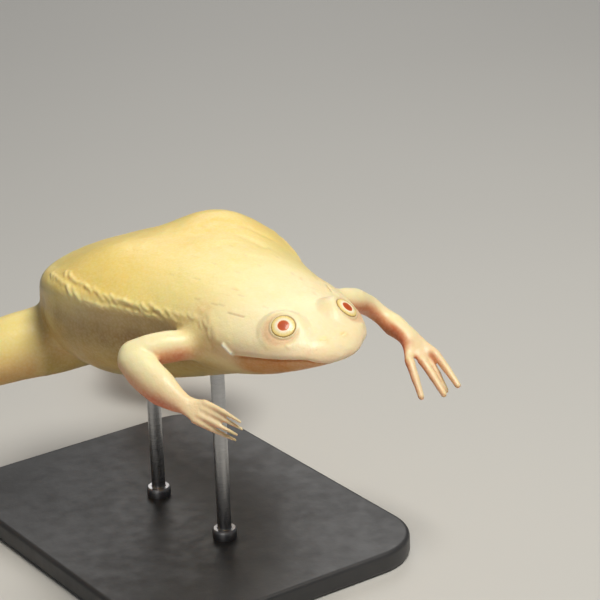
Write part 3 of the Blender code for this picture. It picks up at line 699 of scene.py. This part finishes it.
def shape_and_tint(mesh, points):
    """Moves the skin's points for its fine forms, and works out how strong each tint is at each point."""
    move_points(mesh, points)
    normals = of_points(mesh, "normal")
    x, y, z = points.T
    facing = normals[:, 2]
    reach = np.abs(x)
    half = np.interp(y, [row[0] for row in BODY], [row[1] for row in BODY])
    limbs = np.maximum(ramp(*LIMB_BEHIND, y), ramp(*LIMB_BEYOND, reach - half))
    root = [ramp(*span, values) for span, values in zip(THIGH_ROOT, (z, y, reach))]
    limbs = np.maximum(limbs, root[0] * root[1] * root[2])
    trunk = 1.0 - limbs
    side_line = np.interp(y, *SIDE_LINE)
    flank = trunk * ramp(*FLANK_IN, y) * ramp(*FLANK_OUT, y)
    flank *= ramp(*FLANK_BEYOND, reach / np.maximum(half, 1.0))
    lift = np.zeros(len(points))
    for height, below, width in FLANK_FORMS:
        lift += flank * height * hill(z - side_line + below, width)

    # Lumps and folds of loose skin
    neck = np.zeros(len(points))
    glint = np.zeros(len(points))
    for side in (1, -1):
        for path, height, width in CHEEK_FOLDS:
            away = near_path(points, mirrored(path, side))
            lift += height * hill(away, width)
            # neck: nearness to the grooves among the cheek folds; it makes the skin there lumpier and
            # carries painted shade in those grooves
            neck = np.maximum(neck, hill(away, 2.6) * (height < 0))
            glint = np.maximum(glint, hill(away, width) * (height > 0.3))
    for path, height, width in HUMP_FOLDS:
        lift += height * hill(near_path(points, path), width)
    shares = (trunk, 0.4 + 0.6 * trunk, 1.0, neck)
    for seed, ((height, size), share) in enumerate(zip(LUMPS, shares), 1):
        lift += height * share * noise(points, size, seed)

    line_lift, line, line_shade = lateral_line(points, normals)
    stitch = stitches(points, normals)
    lift += line_lift - STITCH_DEPTH * stitch
    moved = points + normals * lift[:, None]
    moved, moat, rim_shade = eye_forms(moved)
    moved, jaw, lip = mouth_forms(moved)
    moved, nostril = nostril_forms(moved, normals)

    below_line = side_line * ramp(20.0, 40.0, y) - z
    arms = limbs * (y < ARM_END)
    # How far a limb's surface faces up; on the left arm its outer side counts as up, so the painted shade
    # falls on its inner, lower side
    inwards = facing + np.where(x > 0.0, 0.55 * normals[:, 0] - 0.1, 0.0)
    tints = {
        "limb": limbs,
        "neck": neck,
        "glint": glint,
        "line": line,
        "line_shade": line_shade,
        "stitch": stitch,
        "moat": moat,
        "rim_shade": rim_shade,
        "jaw": jaw,
        "lip": lip,
        "nostril": nostril,
        # belly: painted shade on the lower trunk, tan over its own cream
        "belly": trunk * ramp(0.0, 9.0, below_line),
        # flank: a band of painted shade under the ledge of the lateral line, browner than the skin's own
        # colour
        "flank": trunk * ramp(-0.5, 2.5, below_line) * ramp(16.0, 6.0, below_line) * ramp(26.0, 40.0, y),
        # under: painted shade on the lower sides of the limbs, reddish like light through thin skin in
        # shade
        "under": arms * ramp(0.6, -0.45, inwards) + 0.55 * (limbs - arms) * ramp(0.6, -0.45, facing),
        # palm: red on the hands' lower, inner side, partly the flush of blood through thin skin and
        # partly painted shade
        "palm": arms * ramp(0.55, -0.35, inwards) * hill(y - 25.0, 7.0),
        "hump": trunk * ramp(40.0, 58.0, y) * ramp(0.0, 5.0, z),
    }
    parts = {"limb": limbs, "trunk": trunk, "skin": 1.0}
    for name, part, start, full in TINT_SPANS:
        tints[name] = parts[part] * ramp(start, full, y)
    return moved, tints


def lateral_line(points, normals):
    """Two rows of small slanting welts on each flank, uneven as stitching, and the shade under them."""
    lift = np.zeros(len(points))
    tint = np.zeros(len(points))
    shade = np.zeros(len(points))
    draw = np.random.default_rng(11)
    for side in (1, -1):
        x, y, z = points.T
        close = np.where((x * side > 12) & (np.abs(z - 3) < 7) & (y > 22) & (y < 82))[0]
        for path, spacing in LINE_ROWS:
            dense = smooth_rows(mirrored(path, side), np.linspace(0, len(path) - 1, 400))
            steps = np.concatenate([[0.0], np.cumsum(np.linalg.norm(np.diff(dense, axis=0), axis=1))])
            fade = 0.35 + 0.65 * ramp(30.0, 42.0, y[close])
            lift[close] += LINE_RIDGE * hill(near_path(points[close], dense[::20]), 0.8) * fade
            under = near_path(points[close] + (0, 0, 0.9), dense[::20])
            shade[close] = np.maximum(shade[close], hill(under, 1.0) * fade)
            for n in range(int(steps[-1] / spacing)):
                at = (n + 0.5 + draw.uniform(-0.25, 0.25)) * spacing
                place = np.array([np.interp(at, steps, line) for line in dense.T])
                ahead = np.array([np.interp(at + 1.0, steps, line) for line in dense.T])
                at_point = close[nearest(points[close], place)]
                along = unit(ahead - place)
                down = downwards(unit(np.cross(normals[at_point], along)))
                slant = math.radians(draw.uniform(*WELT_SLANT))
                length = draw.uniform(*WELT_LENGTH)
                bend = down * draw.uniform(-0.25, 0.25)
                width = draw.uniform(*WELT_WIDTH)
                strength = draw.uniform(*WELT_STRENGTH) * LINE_STRENGTH[side]
                strength *= 1.0 if place[1] > 40 else 0.55
                half = (along * math.cos(slant) + down * math.sin(slant)) * length / 2
                middle = points[at_point] + down * draw.uniform(-0.35, 0.35)
                welt = (middle - half, middle + bend, middle + half)
                near = close[np.linalg.norm(points[close] - middle, axis=1) < 3.0]
                ridge = hill(near_path(points[near], welt), width)
                hollow = hill(near_path(points[near] - down * 0.75, welt), 0.4)
                lift[near] += strength * (WELT_HEIGHT * ridge - WELT_HOLLOW * hollow)
                # The welts' tops are painted paler: partly their own paler tone, partly a painted
                # highlight
                tint[near] = np.maximum(tint[near], strength * ridge)
    return lift, tint, np.clip(shade - tint, 0, 1)


def stitches(points, normals):
    """Short shallow marks on head and back, each one sense organ of the lateral line."""
    found = np.zeros(len(points))
    for side in (1, -1):
        for *place, turn, length, strength in STITCHES:
            at_point = nearest(points, mirrored(place, side))
            turn = math.radians(turn)
            way = mirrored((math.sin(turn), math.cos(turn), 0.0), side)
            half = square_to(way, normals[at_point]) * length / 2
            middle = points[at_point]
            near = np.where(np.linalg.norm(points - middle, axis=1) < length)[0]
            gap = near_path(points[near], (middle - half, middle + half))
            found[near] = np.maximum(found[near], strength * hill(gap, STITCH_WIDTH))
    return found


def eye_front(r):
    """Height of the eye's front over its centre, at r from its axis: a flat disc, hardly domed."""
    disc = IRIS_EDGE + IRIS_RISE * (1.0 - (np.minimum(r, IRIS_RADIUS) / IRIS_RADIUS) ** 2)
    ball = np.sqrt(np.maximum(EYE_RADIUS**2 - r**2, 0.0))
    return np.where(r < IRIS_RADIUS, disc, ball)


def eye_forms(points):
    """The skin that closes round each eye, and the soft hollow behind and below it."""
    moat = np.zeros(len(points))
    rim_shade = np.zeros(len(points))
    for side in (1, -1):
        height, across, down, axis = eye_places(points, side)
        area = (height > -3.0) & (np.hypot(across, down) < 8.0)
        height, across, down = height[area], across[area], down[area]
        r = np.hypot(across, down)
        level = height + ramp(*EYE_COLLAR, r) * (IRIS_EDGE - 0.12 - height) + 0.10 * hill(r - 2.8, 0.22)
        hollow_r = np.hypot(across + MOAT_SHIFT, down - MOAT_SHIFT)
        hollow = ramp(MOAT_RADIUS, MOAT_RADIUS - MOAT_EDGE, hollow_r) * ramp(2.5, 3.1, r)
        level -= MOAT_DEPTH * hollow
        level = np.where(r < EYE_OPENING, eye_front(r) - 0.45, level)
        points[area] += axis * (level - height)[:, None]
        moat[area] = np.maximum(moat[area], hollow)
        # A ring of painted shadow where the skin meets the eye
        rim_shade[area] = np.maximum(rim_shade[area], ramp(*EYE_RIM_SHADE, r))
    return points, moat, rim_shade


def mouth_forms(points):
    """The overhanging upper lip, the groove of the mouth and the jaw set back under it."""
    x, y, z = points.T
    below = mouth_line(np.maximum(y, 0.0)) - z
    front = ramp(MOUTH_CORNER + 2.0, MOUTH_CORNER - 3.0, y) * (np.abs(x) < 19)
    inset = LIP * np.clip(1.0 - (y / (MOUTH_CORNER + 1.0)) ** 2, 0.15, 1.0)
    step = ramp(0.0, 0.45, below)
    groove = GROOVE_DEPTH * hill(below - 0.45, 0.32) * front
    away = 0.16 * hill(below + 0.8, 0.8) - step * inset * ramp(JAW_DEPTH, 3.0, below) - groove
    out = unit(points - np.stack([0 * x, np.full_like(x, 16.0), z], 1))
    points = points + out * (away * front)[:, None]
    # The jaw's tint is painted shade under the overhanging upper lip, orange-brown as in thin skin
    jaw = step * front * ramp(JAW_DEPTH, 4.0, below)
    lip = hill(below + 0.9, 1.2) * ramp(24.0, 16.0, y)
    return points, jaw, lip


def nostril_forms(points, normals):
    """Nostrils on top of the snout, each a small slit closed by a flap."""
    tint = np.zeros(len(points))
    for side in (1, -1):
        at_point = nearest(points, mirrored(NOSTRIL, side))
        middle, out = points[at_point].copy(), normals[at_point]
        way = unit(mirrored((0.9, 0.45, 0.0), side))
        before = middle - (0, 0.45, 0)
        gap = near_path(points, (middle - way * 0.4, middle + way * 0.4))
        edge = near_path(points, (before - way * 0.5, before + way * 0.5))
        points = points + out * (0.12 * hill(edge, 0.45) - 0.18 * hill(gap, 0.28))[:, None]
        tint = np.maximum(tint, hill(gap, 0.8))
    return points, tint


def make_skin():
    mesh = fused_mesh()
    points = of_points(mesh, "co")
    points = eased(mesh, points, np.full(len(points), 0.5), 3)
    points = eased(mesh, points, joint_weight(points), 160)
    head = ramp(HEAD_DETAIL + 2.0, HEAD_DETAIL - 3.0, points[:, 1]) * (np.abs(points[:, 0]) < HEAD_HALF)
    points = eased(mesh, points, 0.5 * head, 8)
    points, tints = shape_and_tint(mesh, points)
    move_points(mesh, points * UNIT + np.array(ORIGIN))
    mesh.shade_smooth()
    for name, values in tints.items():
        store(mesh, name, np.clip(values, 0.0, 1.0))
    skin = add_piece("frog_skin", mesh, skin_material())
    flesh = [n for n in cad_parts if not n.startswith(("stand_", "eye_")) and "_claw_" not in n]
    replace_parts(skin, *flesh)


def store(mesh, name, values):
    """Keeps one number for each point of a mesh, for its material to read."""
    layer = mesh.attributes.new(name, "FLOAT", "POINT")
    layer.data.foreach_set("value", np.asarray(values, np.float32))


def add_piece(name, mesh, material):
    piece = bpy.data.objects.new(name, mesh)
    bpy.context.scene.collection.objects.link(piece)
    mesh.materials.clear()
    mesh.materials.append(material)
    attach(piece, "root")
    return piece


def placed_mesh(name, points, faces):
    """A mesh in metres from points in the frog's frame."""
    return mesh_of(name, np.asarray(points) * UNIT + np.array(ORIGIN), faces)


# Materials


def linear(red, green, blue):
    """A colour given as it looks on a screen, from 0 to 255, as the shader wants it."""
    shares = [c / 255.0 for c in (red, green, blue)]
    return tuple(c / 12.92 if c <= 0.04045 else ((c + 0.055) / 1.055) ** 2.4 for c in shares) + (1.0,)


class Nodes:
    """A material's node tree, with short ways to add to it."""

    def __init__(self, name):
        self.material = bpy.data.materials.new(name)
        self.material.use_nodes = True
        self.tree = self.material.node_tree
        self.shader = self.tree.nodes["Principled BSDF"]
        self.place = None

    def add(self, kind, **values):
        node = self.tree.nodes.new(kind)
        for key, value in values.items():
            if hasattr(node, key):
                setattr(node, key, value)
            else:
                node.inputs[key.replace("_", " ").title()].default_value = value
        return node

    def put(self, value, socket):
        """Links another node's output to a socket, or sets a plain value on it."""
        if isinstance(value, (int, float, tuple)):
            socket.default_value = value
        else:
            self.tree.links.new(value, socket)

    def coordinates(self):
        if self.place is None:
            self.place = self.add("ShaderNodeTexCoord").outputs["Object"]
        return self.place

    def noise(self, scale, detail=3.0, roughness=0.5):
        node = self.add("ShaderNodeTexNoise", scale=scale, detail=detail, roughness=roughness)
        self.put(self.coordinates(), node.inputs["Vector"])
        return node.outputs["Fac"]

    def cells(self, scale, feature="F1"):
        node = self.add("ShaderNodeTexVoronoi", feature=feature, scale=scale)
        self.put(self.coordinates(), node.inputs["Vector"])
        return node.outputs["Distance"]

    def mask(self, name, kind="Fac"):
        return self.add("ShaderNodeAttribute", attribute_name=name).outputs[kind]

    def fitted(self, value, low, high, to_low=0.0, to_high=1.0):
        node = self.add("ShaderNodeMapRange")
        for socket, number in zip(node.inputs, (value, low, high, to_low, to_high)):
            self.put(number, socket)
        return node.outputs["Result"]

    def maths(self, operation, *values):
        node = self.add("ShaderNodeMath", operation=operation)
        for socket, value in zip(node.inputs, values):
            self.put(value, socket)
        return node.outputs[0]

    def times(self, a, b):
        return self.maths("MULTIPLY", a, b)

    def over(self, below, colour, factor):
        """colour laid over below, as strongly as factor says."""
        node = self.add("ShaderNodeMix", data_type="RGBA")
        for place, value in ((0, factor), (6, below), (7, colour)):
            self.put(value, node.inputs[place])
        return node.outputs[2]

    def bump(self, height, distance, strength, below=None):
        node = self.add("ShaderNodeBump", distance=distance, strength=strength)
        self.put(height, node.inputs["Height"])
        if below is not None:
            self.put(below, node.inputs["Normal"])
        return node.outputs["Normal"]

    def set(self, **values):
        for key, value in values.items():
            self.put(value, self.shader.inputs[key.replace("_", " ")])


def skin_material():
    """Pale, thin skin without dark pigment: yellow on the back and cream below, flushed with pink, with
    painted shade on the flanks, belly, lower jaw, cheek grooves and limb undersides, painted shadow round
    each eye and a painted glint on each cheek.
    """
    nodes = Nodes("frog_skin")
    yellow, cream = linear(247, 224, 136), linear(252, 236, 174)
    colour = nodes.over(yellow, cream, nodes.fitted(nodes.noise(90.0, 4.0), 0.35, 0.7, 0.0, 0.45))
    layers = [
        ("hump", (243, 210, 106), 0.7),
        ("face", (255, 238, 202), 0.85),
        # painted shade on the belly, tan over the skin's own cream
        ("belly", (198, 162, 92), 0.85),
        # painted shade on the flank under the lateral line's ledge
        ("flank", (146, 108, 42), 0.88),
        ("limb", (255, 242, 200), 0.85),
        ("leg", (244, 220, 122), 0.8),
        # painted shade under the limbs, reddish as in thin skin
        ("under", (230, 134, 78), 0.85),
        ("hand", (236, 204, 164), 0.7),
        # partly the hands' own red flush, partly painted shade
        ("palm", (212, 86, 42), 0.85),
        ("foot", (240, 200, 166), 0.7),
        # painted shade in the grooves of the cheek folds
        ("neck", (220, 182, 118), 0.4),
        ("lip", (240, 210, 186), 0.5),
        # painted shade on the lower jaw under the lip
        ("jaw", (204, 124, 34), 0.95),
        ("line_shade", (176, 132, 62), 0.45),
        # pale welt tops, partly own tone and partly painted highlight
        ("line", (254, 238, 186), 0.5),
        ("stitch", (176, 150, 104), 0.5),
        ("glint", (255, 252, 240), 0.9),
        ("moat", (226, 180, 136), 0.8),
        # painted shadow round the eye
        ("rim_shade", (170, 138, 84), 0.45),
        ("nostril", (238, 216, 136), 0.6),
    ]
    patches = nodes.fitted(nodes.noise(260.0, 3.0), 0.3, 0.7, 0.78, 1.0)
    for name, tint, strength in layers:
        amount = nodes.times(nodes.times(nodes.mask(name), patches), strength)
        colour = nodes.over(colour, linear(*tint), amount)
    flush = nodes.times(nodes.fitted(nodes.noise(38.0, 5.0, 0.6), 0.5, 0.78), 0.28)
    colour = nodes.over(colour, linear(244, 182, 140), flush)
    veins = nodes.fitted(nodes.cells(210.0, "DISTANCE_TO_EDGE"), 0.035, 0.0)
    on_feet = nodes.times(veins, nodes.mask("foot"))
    colour = nodes.over(colour, linear(206, 110, 90), nodes.times(on_feet, 0.28))
    grains = nodes.fitted(nodes.cells(1500.0), 0.0, 0.8, 0.16, 0.0)
    pores = nodes.bump(nodes.noise(900.0, 5.0, 0.6), 0.00012, 0.5)
    nodes.set(
        Base_Color=nodes.over(colour, linear(255, 246, 222), grains),
        Roughness=nodes.fitted(nodes.noise(420.0, 4.0), 0.3, 0.7, 0.34, 0.5),
        Normal=nodes.bump(nodes.cells(2300.0), 0.00005, 0.5, pores),
        Subsurface_Weight=0.35,
        Subsurface_Radius=(1.0, 0.5, 0.25),
        Subsurface_Scale=0.0016,
        Specular_IOR_Level=0.4,
        Coat_Weight=0.1,
        Coat_Roughness=0.3,
    )
    return nodes.material


def eye_material():
    """An iris without dark pigment: cream, paler inside, round an orange-red pupil."""
    nodes = Nodes("eye")
    out = nodes.mask("from_axis")
    rays = nodes.add("ShaderNodeTexNoise", scale=5.0, detail=4.0)
    nodes.put(nodes.mask("streak", "Vector"), rays.inputs["Vector"])
    wobble = nodes.fitted(rays.outputs["Fac"], 0.3, 0.7, -0.012, 0.012)
    rings = nodes.add("ShaderNodeValToRGB")
    stops = [
        (0.0, (184, 74, 30)),
        (0.33, (194, 84, 36)),
        (0.39, (208, 104, 54)),
        (0.42, (244, 196, 154)),
        (0.45, (254, 242, 220)),
        (0.56, (253, 238, 202)),
        (0.65, (249, 231, 170)),
        (0.77, (244, 220, 144)),
        # The olive-brown band from 0.82 to 0.86 is painted shadow where the skin closes over the ball
        (0.82, (210, 184, 108)),
        (0.86, (172, 144, 82)),
        (1.0, (170, 130, 90)),
    ]
    while len(rings.color_ramp.elements) < len(stops):
        rings.color_ramp.elements.new(0.5)
    for element, (position, colour) in zip(rings.color_ramp.elements, stops):
        element.position = position
        element.color = linear(*colour)
    nodes.put(nodes.maths("ADD", out, wobble), rings.inputs["Fac"])
    fibres = nodes.fitted(rays.outputs["Fac"], 0.45, 0.7, 0.0, 0.35)
    in_iris = nodes.fitted(out, 0.5, 0.62)
    nodes.set(
        Base_Color=nodes.over(rings.outputs["Color"], linear(206, 160, 84), nodes.times(fibres, in_iris)),
        Roughness=0.45,
        Subsurface_Weight=0.1,
        Subsurface_Radius=(1.0, 0.4, 0.2),
        Subsurface_Scale=0.0005,
        Specular_IOR_Level=0.3,
        Coat_Weight=0.3,
        Coat_Roughness=0.05,
    )
    return nodes.material


def claw_material():
    nodes = Nodes("claw")
    tip = nodes.fitted(nodes.mask("to_tip"), 0.05, 0.75)
    horn = nodes.over(linear(176, 122, 74), linear(58, 34, 24), tip)
    streaks = nodes.fitted(nodes.noise(1800.0, 4.0), 0.35, 0.65, 0.0, 0.5)
    nodes.set(
        Base_Color=nodes.over(horn, linear(120, 78, 46), streaks),
        Roughness=nodes.fitted(nodes.noise(2600.0), 0.3, 0.7, 0.2, 0.36),
        Normal=nodes.bump(nodes.noise(3000.0), 0.00003, 0.4),
    )
    return nodes.material


def stand_material():
    """Satin paint, charcoal, with a faint orange-peel surface."""
    nodes = Nodes("stand_paint")
    tone = nodes.fitted(nodes.noise(60.0, 4.0), 0.35, 0.65)
    nodes.set(
        Base_Color=nodes.over(linear(56, 56, 58), linear(53, 53, 55), tone),
        Roughness=nodes.fitted(nodes.noise(300.0), 0.3, 0.7, 0.38, 0.48),
        Normal=nodes.bump(nodes.noise(1300.0), 0.00005, 0.35),
    )
    return nodes.material


def rod_material():
    """Steel brushed round the rod."""
    nodes = Nodes("rod_steel")
    stretch = nodes.add("ShaderNodeMapping", scale=(90.0, 90.0, 14000.0))
    nodes.put(nodes.coordinates(), stretch.inputs["Vector"])
    texture = nodes.add("ShaderNodeTexNoise", scale=1.0, detail=3.0)
    nodes.put(stretch.outputs["Vector"], texture.inputs["Vector"])
    lines = texture.outputs["Fac"]
    shade = nodes.fitted(lines, 0.35, 0.65)
    nodes.set(
        Base_Color=nodes.over(linear(190, 190, 192), linear(176, 176, 178), shade),
        Metallic=1.0,
        Roughness=nodes.fitted(lines, 0.3, 0.7, 0.24, 0.4),
        Normal=nodes.bump(lines, 0.00001, 0.2),
    )
    return nodes.material


def floor_material():
    nodes = Nodes("floor")
    tone = nodes.fitted(nodes.noise(3.0, 3.0), 0.3, 0.7)
    nodes.set(Base_Color=nodes.over(linear(206, 205, 202), linear(202, 201, 198), tone), Roughness=0.6)
    return nodes.material


# Pieces beside the skin


def make_eyes():
    """Each eye is a flat disc of iris and pupil on the front of a ball."""
    material = eye_material()
    around = 72
    spans = ((0.04, 1.05, 16), (1.1, 1.5, 12), (1.56, IRIS_RADIUS, 24))
    front = np.concatenate([np.linspace(*span) for span in spans])
    polar = np.linspace(math.asin(IRIS_RADIUS / EYE_RADIUS) + 0.03, math.pi - 0.02, 50)
    r = np.concatenate([front, EYE_RADIUS * np.sin(polar)])
    disc = eye_front(front) - PUPIL_DEPTH * ramp(1.32, 1.16, front)
    high = np.concatenate([disc, EYE_RADIUS * np.cos(polar)])
    out = np.concatenate([front / EYE_RADIUS, np.ones(len(polar))])
    angle = np.linspace(0, 2 * math.pi, around, endpoint=False)
    ways = [np.tile(f(angle), len(r)) * 2.4 for f in (np.cos, np.sin)]
    streak = np.vstack([np.stack([*ways, np.repeat(out, around) * 0.6], 1), np.zeros((2, 3))])
    for name, side in (("eye_left", 1), ("eye_right", -1)):
        axis = unit(mirrored(EYE_AXIS, side))
        middles = mirrored(EYE_CENTRE, side) + axis * high[:, None]
        rings = ovals(middles, np.repeat(axis[None], len(r), axis=0), (0, 0, 1), r, r, around)
        mesh = placed_mesh(f"{name}_ball", *closed_rings(rings, middles[0], middles[-1]))
        store(mesh, "from_axis", np.concatenate([np.repeat(out, around), [0.0, 1.0]]))
        layer = mesh.attributes.new("streak", "FLOAT_VECTOR", "POINT")
        layer.data.foreach_set("vector", streak.astype(np.float32).ravel())
        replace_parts(add_piece(f"{name}_ball", mesh, material), name)


def make_claws():
    material = claw_material()
    for side in ("left", "right"):
        _, outer, top, _ = toe_frame(side)
        for k in range(CLAWED_TOES):
            before, end = toe_points(side, k, (0.9, 1.0))
            way = unit(end - before)
            t = np.linspace(-0.25, 0.96, 26)[:, None]
            out = np.clip(t, 0, 1)
            centres = end + way * CLAW_LENGTH * t - top * CLAW_HOOK * out**2
            radius = CLAW_RADIUS * np.sqrt(np.clip(1.0 - out[:, 0] ** 1.6, 0.02, 1.0))
            points, faces = tube(centres, radius * 0.92, radius, outer, 20)
            node = f"{side}_claw_{k + 1}"
            mesh = placed_mesh(f"{node}_horn", points, faces)
            store(mesh, "to_tip", np.clip((points - end) @ way / CLAW_LENGTH, 0.0, 1.0))
            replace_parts(add_piece(f"{node}_horn", mesh, material), node)


def make_stand():
    """A rounded slab and two rods that reach the belly, as in the solids."""
    low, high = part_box("stand_base")
    corner, edge = 14.0 * UNIT, 1.0 * UNIT
    rings = []
    for inset, z in ((edge, low.z), (0.3 * edge, low.z + 0.3 * edge), (0.0, low.z + edge)):
        rings.append(rounded_outline(low, high, corner, inset, z))
    for turn in np.radians((0, 22.5, 45, 67.5, 90)):
        inset = edge * (1 - math.cos(turn))
        rings.append(rounded_outline(low, high, corner, inset, high.z - edge * (1 - math.sin(turn))))
    for share in (0.02, 0.3):
        rings.append(rounded_outline(low, high, corner, edge + share * corner, high.z))
    x, y, _ = (low + high) / 2
    points, faces = closed_rings(np.array(rings), (x, y, low.z), (x, y, high.z))
    mesh = mesh_of("stand_base_slab", points, faces)
    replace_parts(add_piece("stand_base_slab", mesh, stand_material()), "stand_base")
    steel = rod_material()
    for name in ("stand_rod_front", "stand_rod_rear"):
        make_rod(name, steel)


def rounded_outline(low, high, corner, inset, z):
    """One ring of the slab at height z, drawn in by an inset from its sides."""
    points = []
    left, right, front, rear = low.x + corner, high.x - corner, low.y + corner, high.y - corner
    for k, (x, y) in enumerate(((right, rear), (left, rear), (left, front), (right, front))):
        for angle in np.radians(np.linspace(90 * k, 90 * k + 90, 19)):
            reach_x, reach_y = (corner - inset) * math.cos(angle), (corner - inset) * math.sin(angle)
            points.append((x + reach_x, y + reach_y, z))
    return points


def make_rod(name, steel):
    """One rod with a small collar at its foot. Its top ends inside the skin."""
    low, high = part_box(name)
    x, y = (low.x + high.x) / 2, (low.y + high.y) / 2
    radius = (high.x - low.x) / 2
    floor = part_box("stand_base")[1].z
    top = high.z + 0.6 * UNIT
    collar, rise = 1.75 * radius, 2.2 * UNIT
    profile = [(collar, floor), (collar, floor + 0.75 * rise)]
    profile += [(0.96 * collar, floor + 0.9 * rise), (0.88 * collar, floor + rise)]
    profile += [(1.08 * radius, floor + rise), (radius, floor + 1.05 * rise)]
    profile += [(radius, z) for z in np.linspace(floor + 1.2 * rise, top, 24)]
    profile.append((0.8 * radius, top + 0.1 * UNIT))
    turn = np.linspace(0, 2 * math.pi, 48, endpoint=False)
    rings = [[(x + r * math.cos(a), y + r * math.sin(a), z) for a in turn] for r, z in profile]
    points, faces = closed_rings(np.array(rings), (x, y, floor), (x, y, top + 0.1 * UNIT))
    mesh = mesh_of(f"{name}_steel", points, faces)
    mesh.set_sharp_from_angle(angle=math.radians(40))
    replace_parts(add_piece(f"{name}_steel", mesh, steel), name)


# The room, the lights and the camera

CAMERA_TURN = 34.8
CAMERA_RISE = 21.2
CAMERA_ROLL = -1.9
CAMERA_AWAY = 500.0
CAMERA_TARGET = (12.5, 35.0, 0.0)
FOCAL_PIXELS = 2315.0
IMAGE_SIZE = 600.0
SENSOR = 36.0


def make_camera():
    """The photograph's view: before the frog's right cheek and a little above."""
    turn, rise, roll = (math.radians(a) for a in (CAMERA_TURN, CAMERA_RISE, CAMERA_ROLL))
    back = np.array((-math.sin(turn) * math.cos(rise), -math.cos(turn) * math.cos(rise), math.sin(rise)))
    right = unit(np.cross((0, 0, 1), back))
    up = np.cross(back, right)
    tilted_right = right * math.cos(roll) + up * math.sin(roll)
    tilted_up = -right * math.sin(roll) + up * math.cos(roll)
    place = (np.array(CAMERA_TARGET) + back * CAMERA_AWAY) * UNIT + np.array(ORIGIN)
    data = bpy.data.cameras.new("camera")
    data.sensor_width = SENSOR
    data.lens = SENSOR * FOCAL_PIXELS / IMAGE_SIZE
    data.clip_start = 0.02
    data.clip_end = 20.0
    camera = bpy.data.objects.new("camera", data)
    bpy.context.scene.collection.objects.link(camera)
    rows = np.stack([tilted_right, tilted_up, back, place], 1).tolist()
    camera.matrix_world = Matrix(rows + [[0, 0, 0, 1]])
    bpy.context.scene.camera = camera


def add_light(name, place, size, energy, colour, target=(0.0, -0.03, 0.06)):
    data = bpy.data.lights.new(name, "AREA")
    data.shape = "DISK"
    data.size = size
    data.energy = energy
    data.color = colour
    light = bpy.data.objects.new(name, data)
    light.location = place
    light.rotation_euler = (Vector(target) - Vector(place)).to_track_quat("-Z", "Y").to_euler()
    bpy.context.scene.collection.objects.link(light)


def make_room():
    """A plain pale floor and soft light, mostly from above and a little from the front."""
    mesh = bpy.data.meshes.new("floor")
    far = 4.0
    mesh.from_pydata([(-far, -far, 0), (far, -far, 0), (far, far, 0), (-far, far, 0)], [], [(0, 1, 2, 3)])
    mesh.materials.append(floor_material())
    floor = bpy.data.objects.new("floor", mesh)
    bpy.context.scene.collection.objects.link(floor)
    world = bpy.data.worlds.new("world")
    bpy.context.scene.world = world
    world.use_nodes = True
    sky = world.node_tree.nodes["Background"].inputs
    sky["Color"].default_value = (0.9, 0.93, 1.0, 1.0)
    sky["Strength"].default_value = 0.09
    add_light("key", (0.04, -0.30, 0.66), 0.28, 4.2, (1.0, 0.96, 0.87))
    add_light("fill", (-0.65, -0.55, 0.30), 0.6, 0.45, (1.0, 0.97, 0.92))
    add_light("back", (0.45, 0.55, 0.55), 0.5, 1.4, (1.0, 0.98, 0.95))


def frog_origin():
    """Where the tip of the snout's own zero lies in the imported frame, worked out from the eyes."""
    middles = [(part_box(node)[0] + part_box(node)[1]) / 2 for node in ("eye_left", "eye_right")]
    between = (middles[0] + middles[1]) / 2
    return between - Vector((0.0, EYE_CENTRE[1], EYE_CENTRE[2])) * UNIT


ORIGIN = frog_origin()
bpy.context.scene.view_settings.view_transform = "Standard"
make_camera()
make_room()
make_skin()
make_eyes()
make_claws()
make_stand()
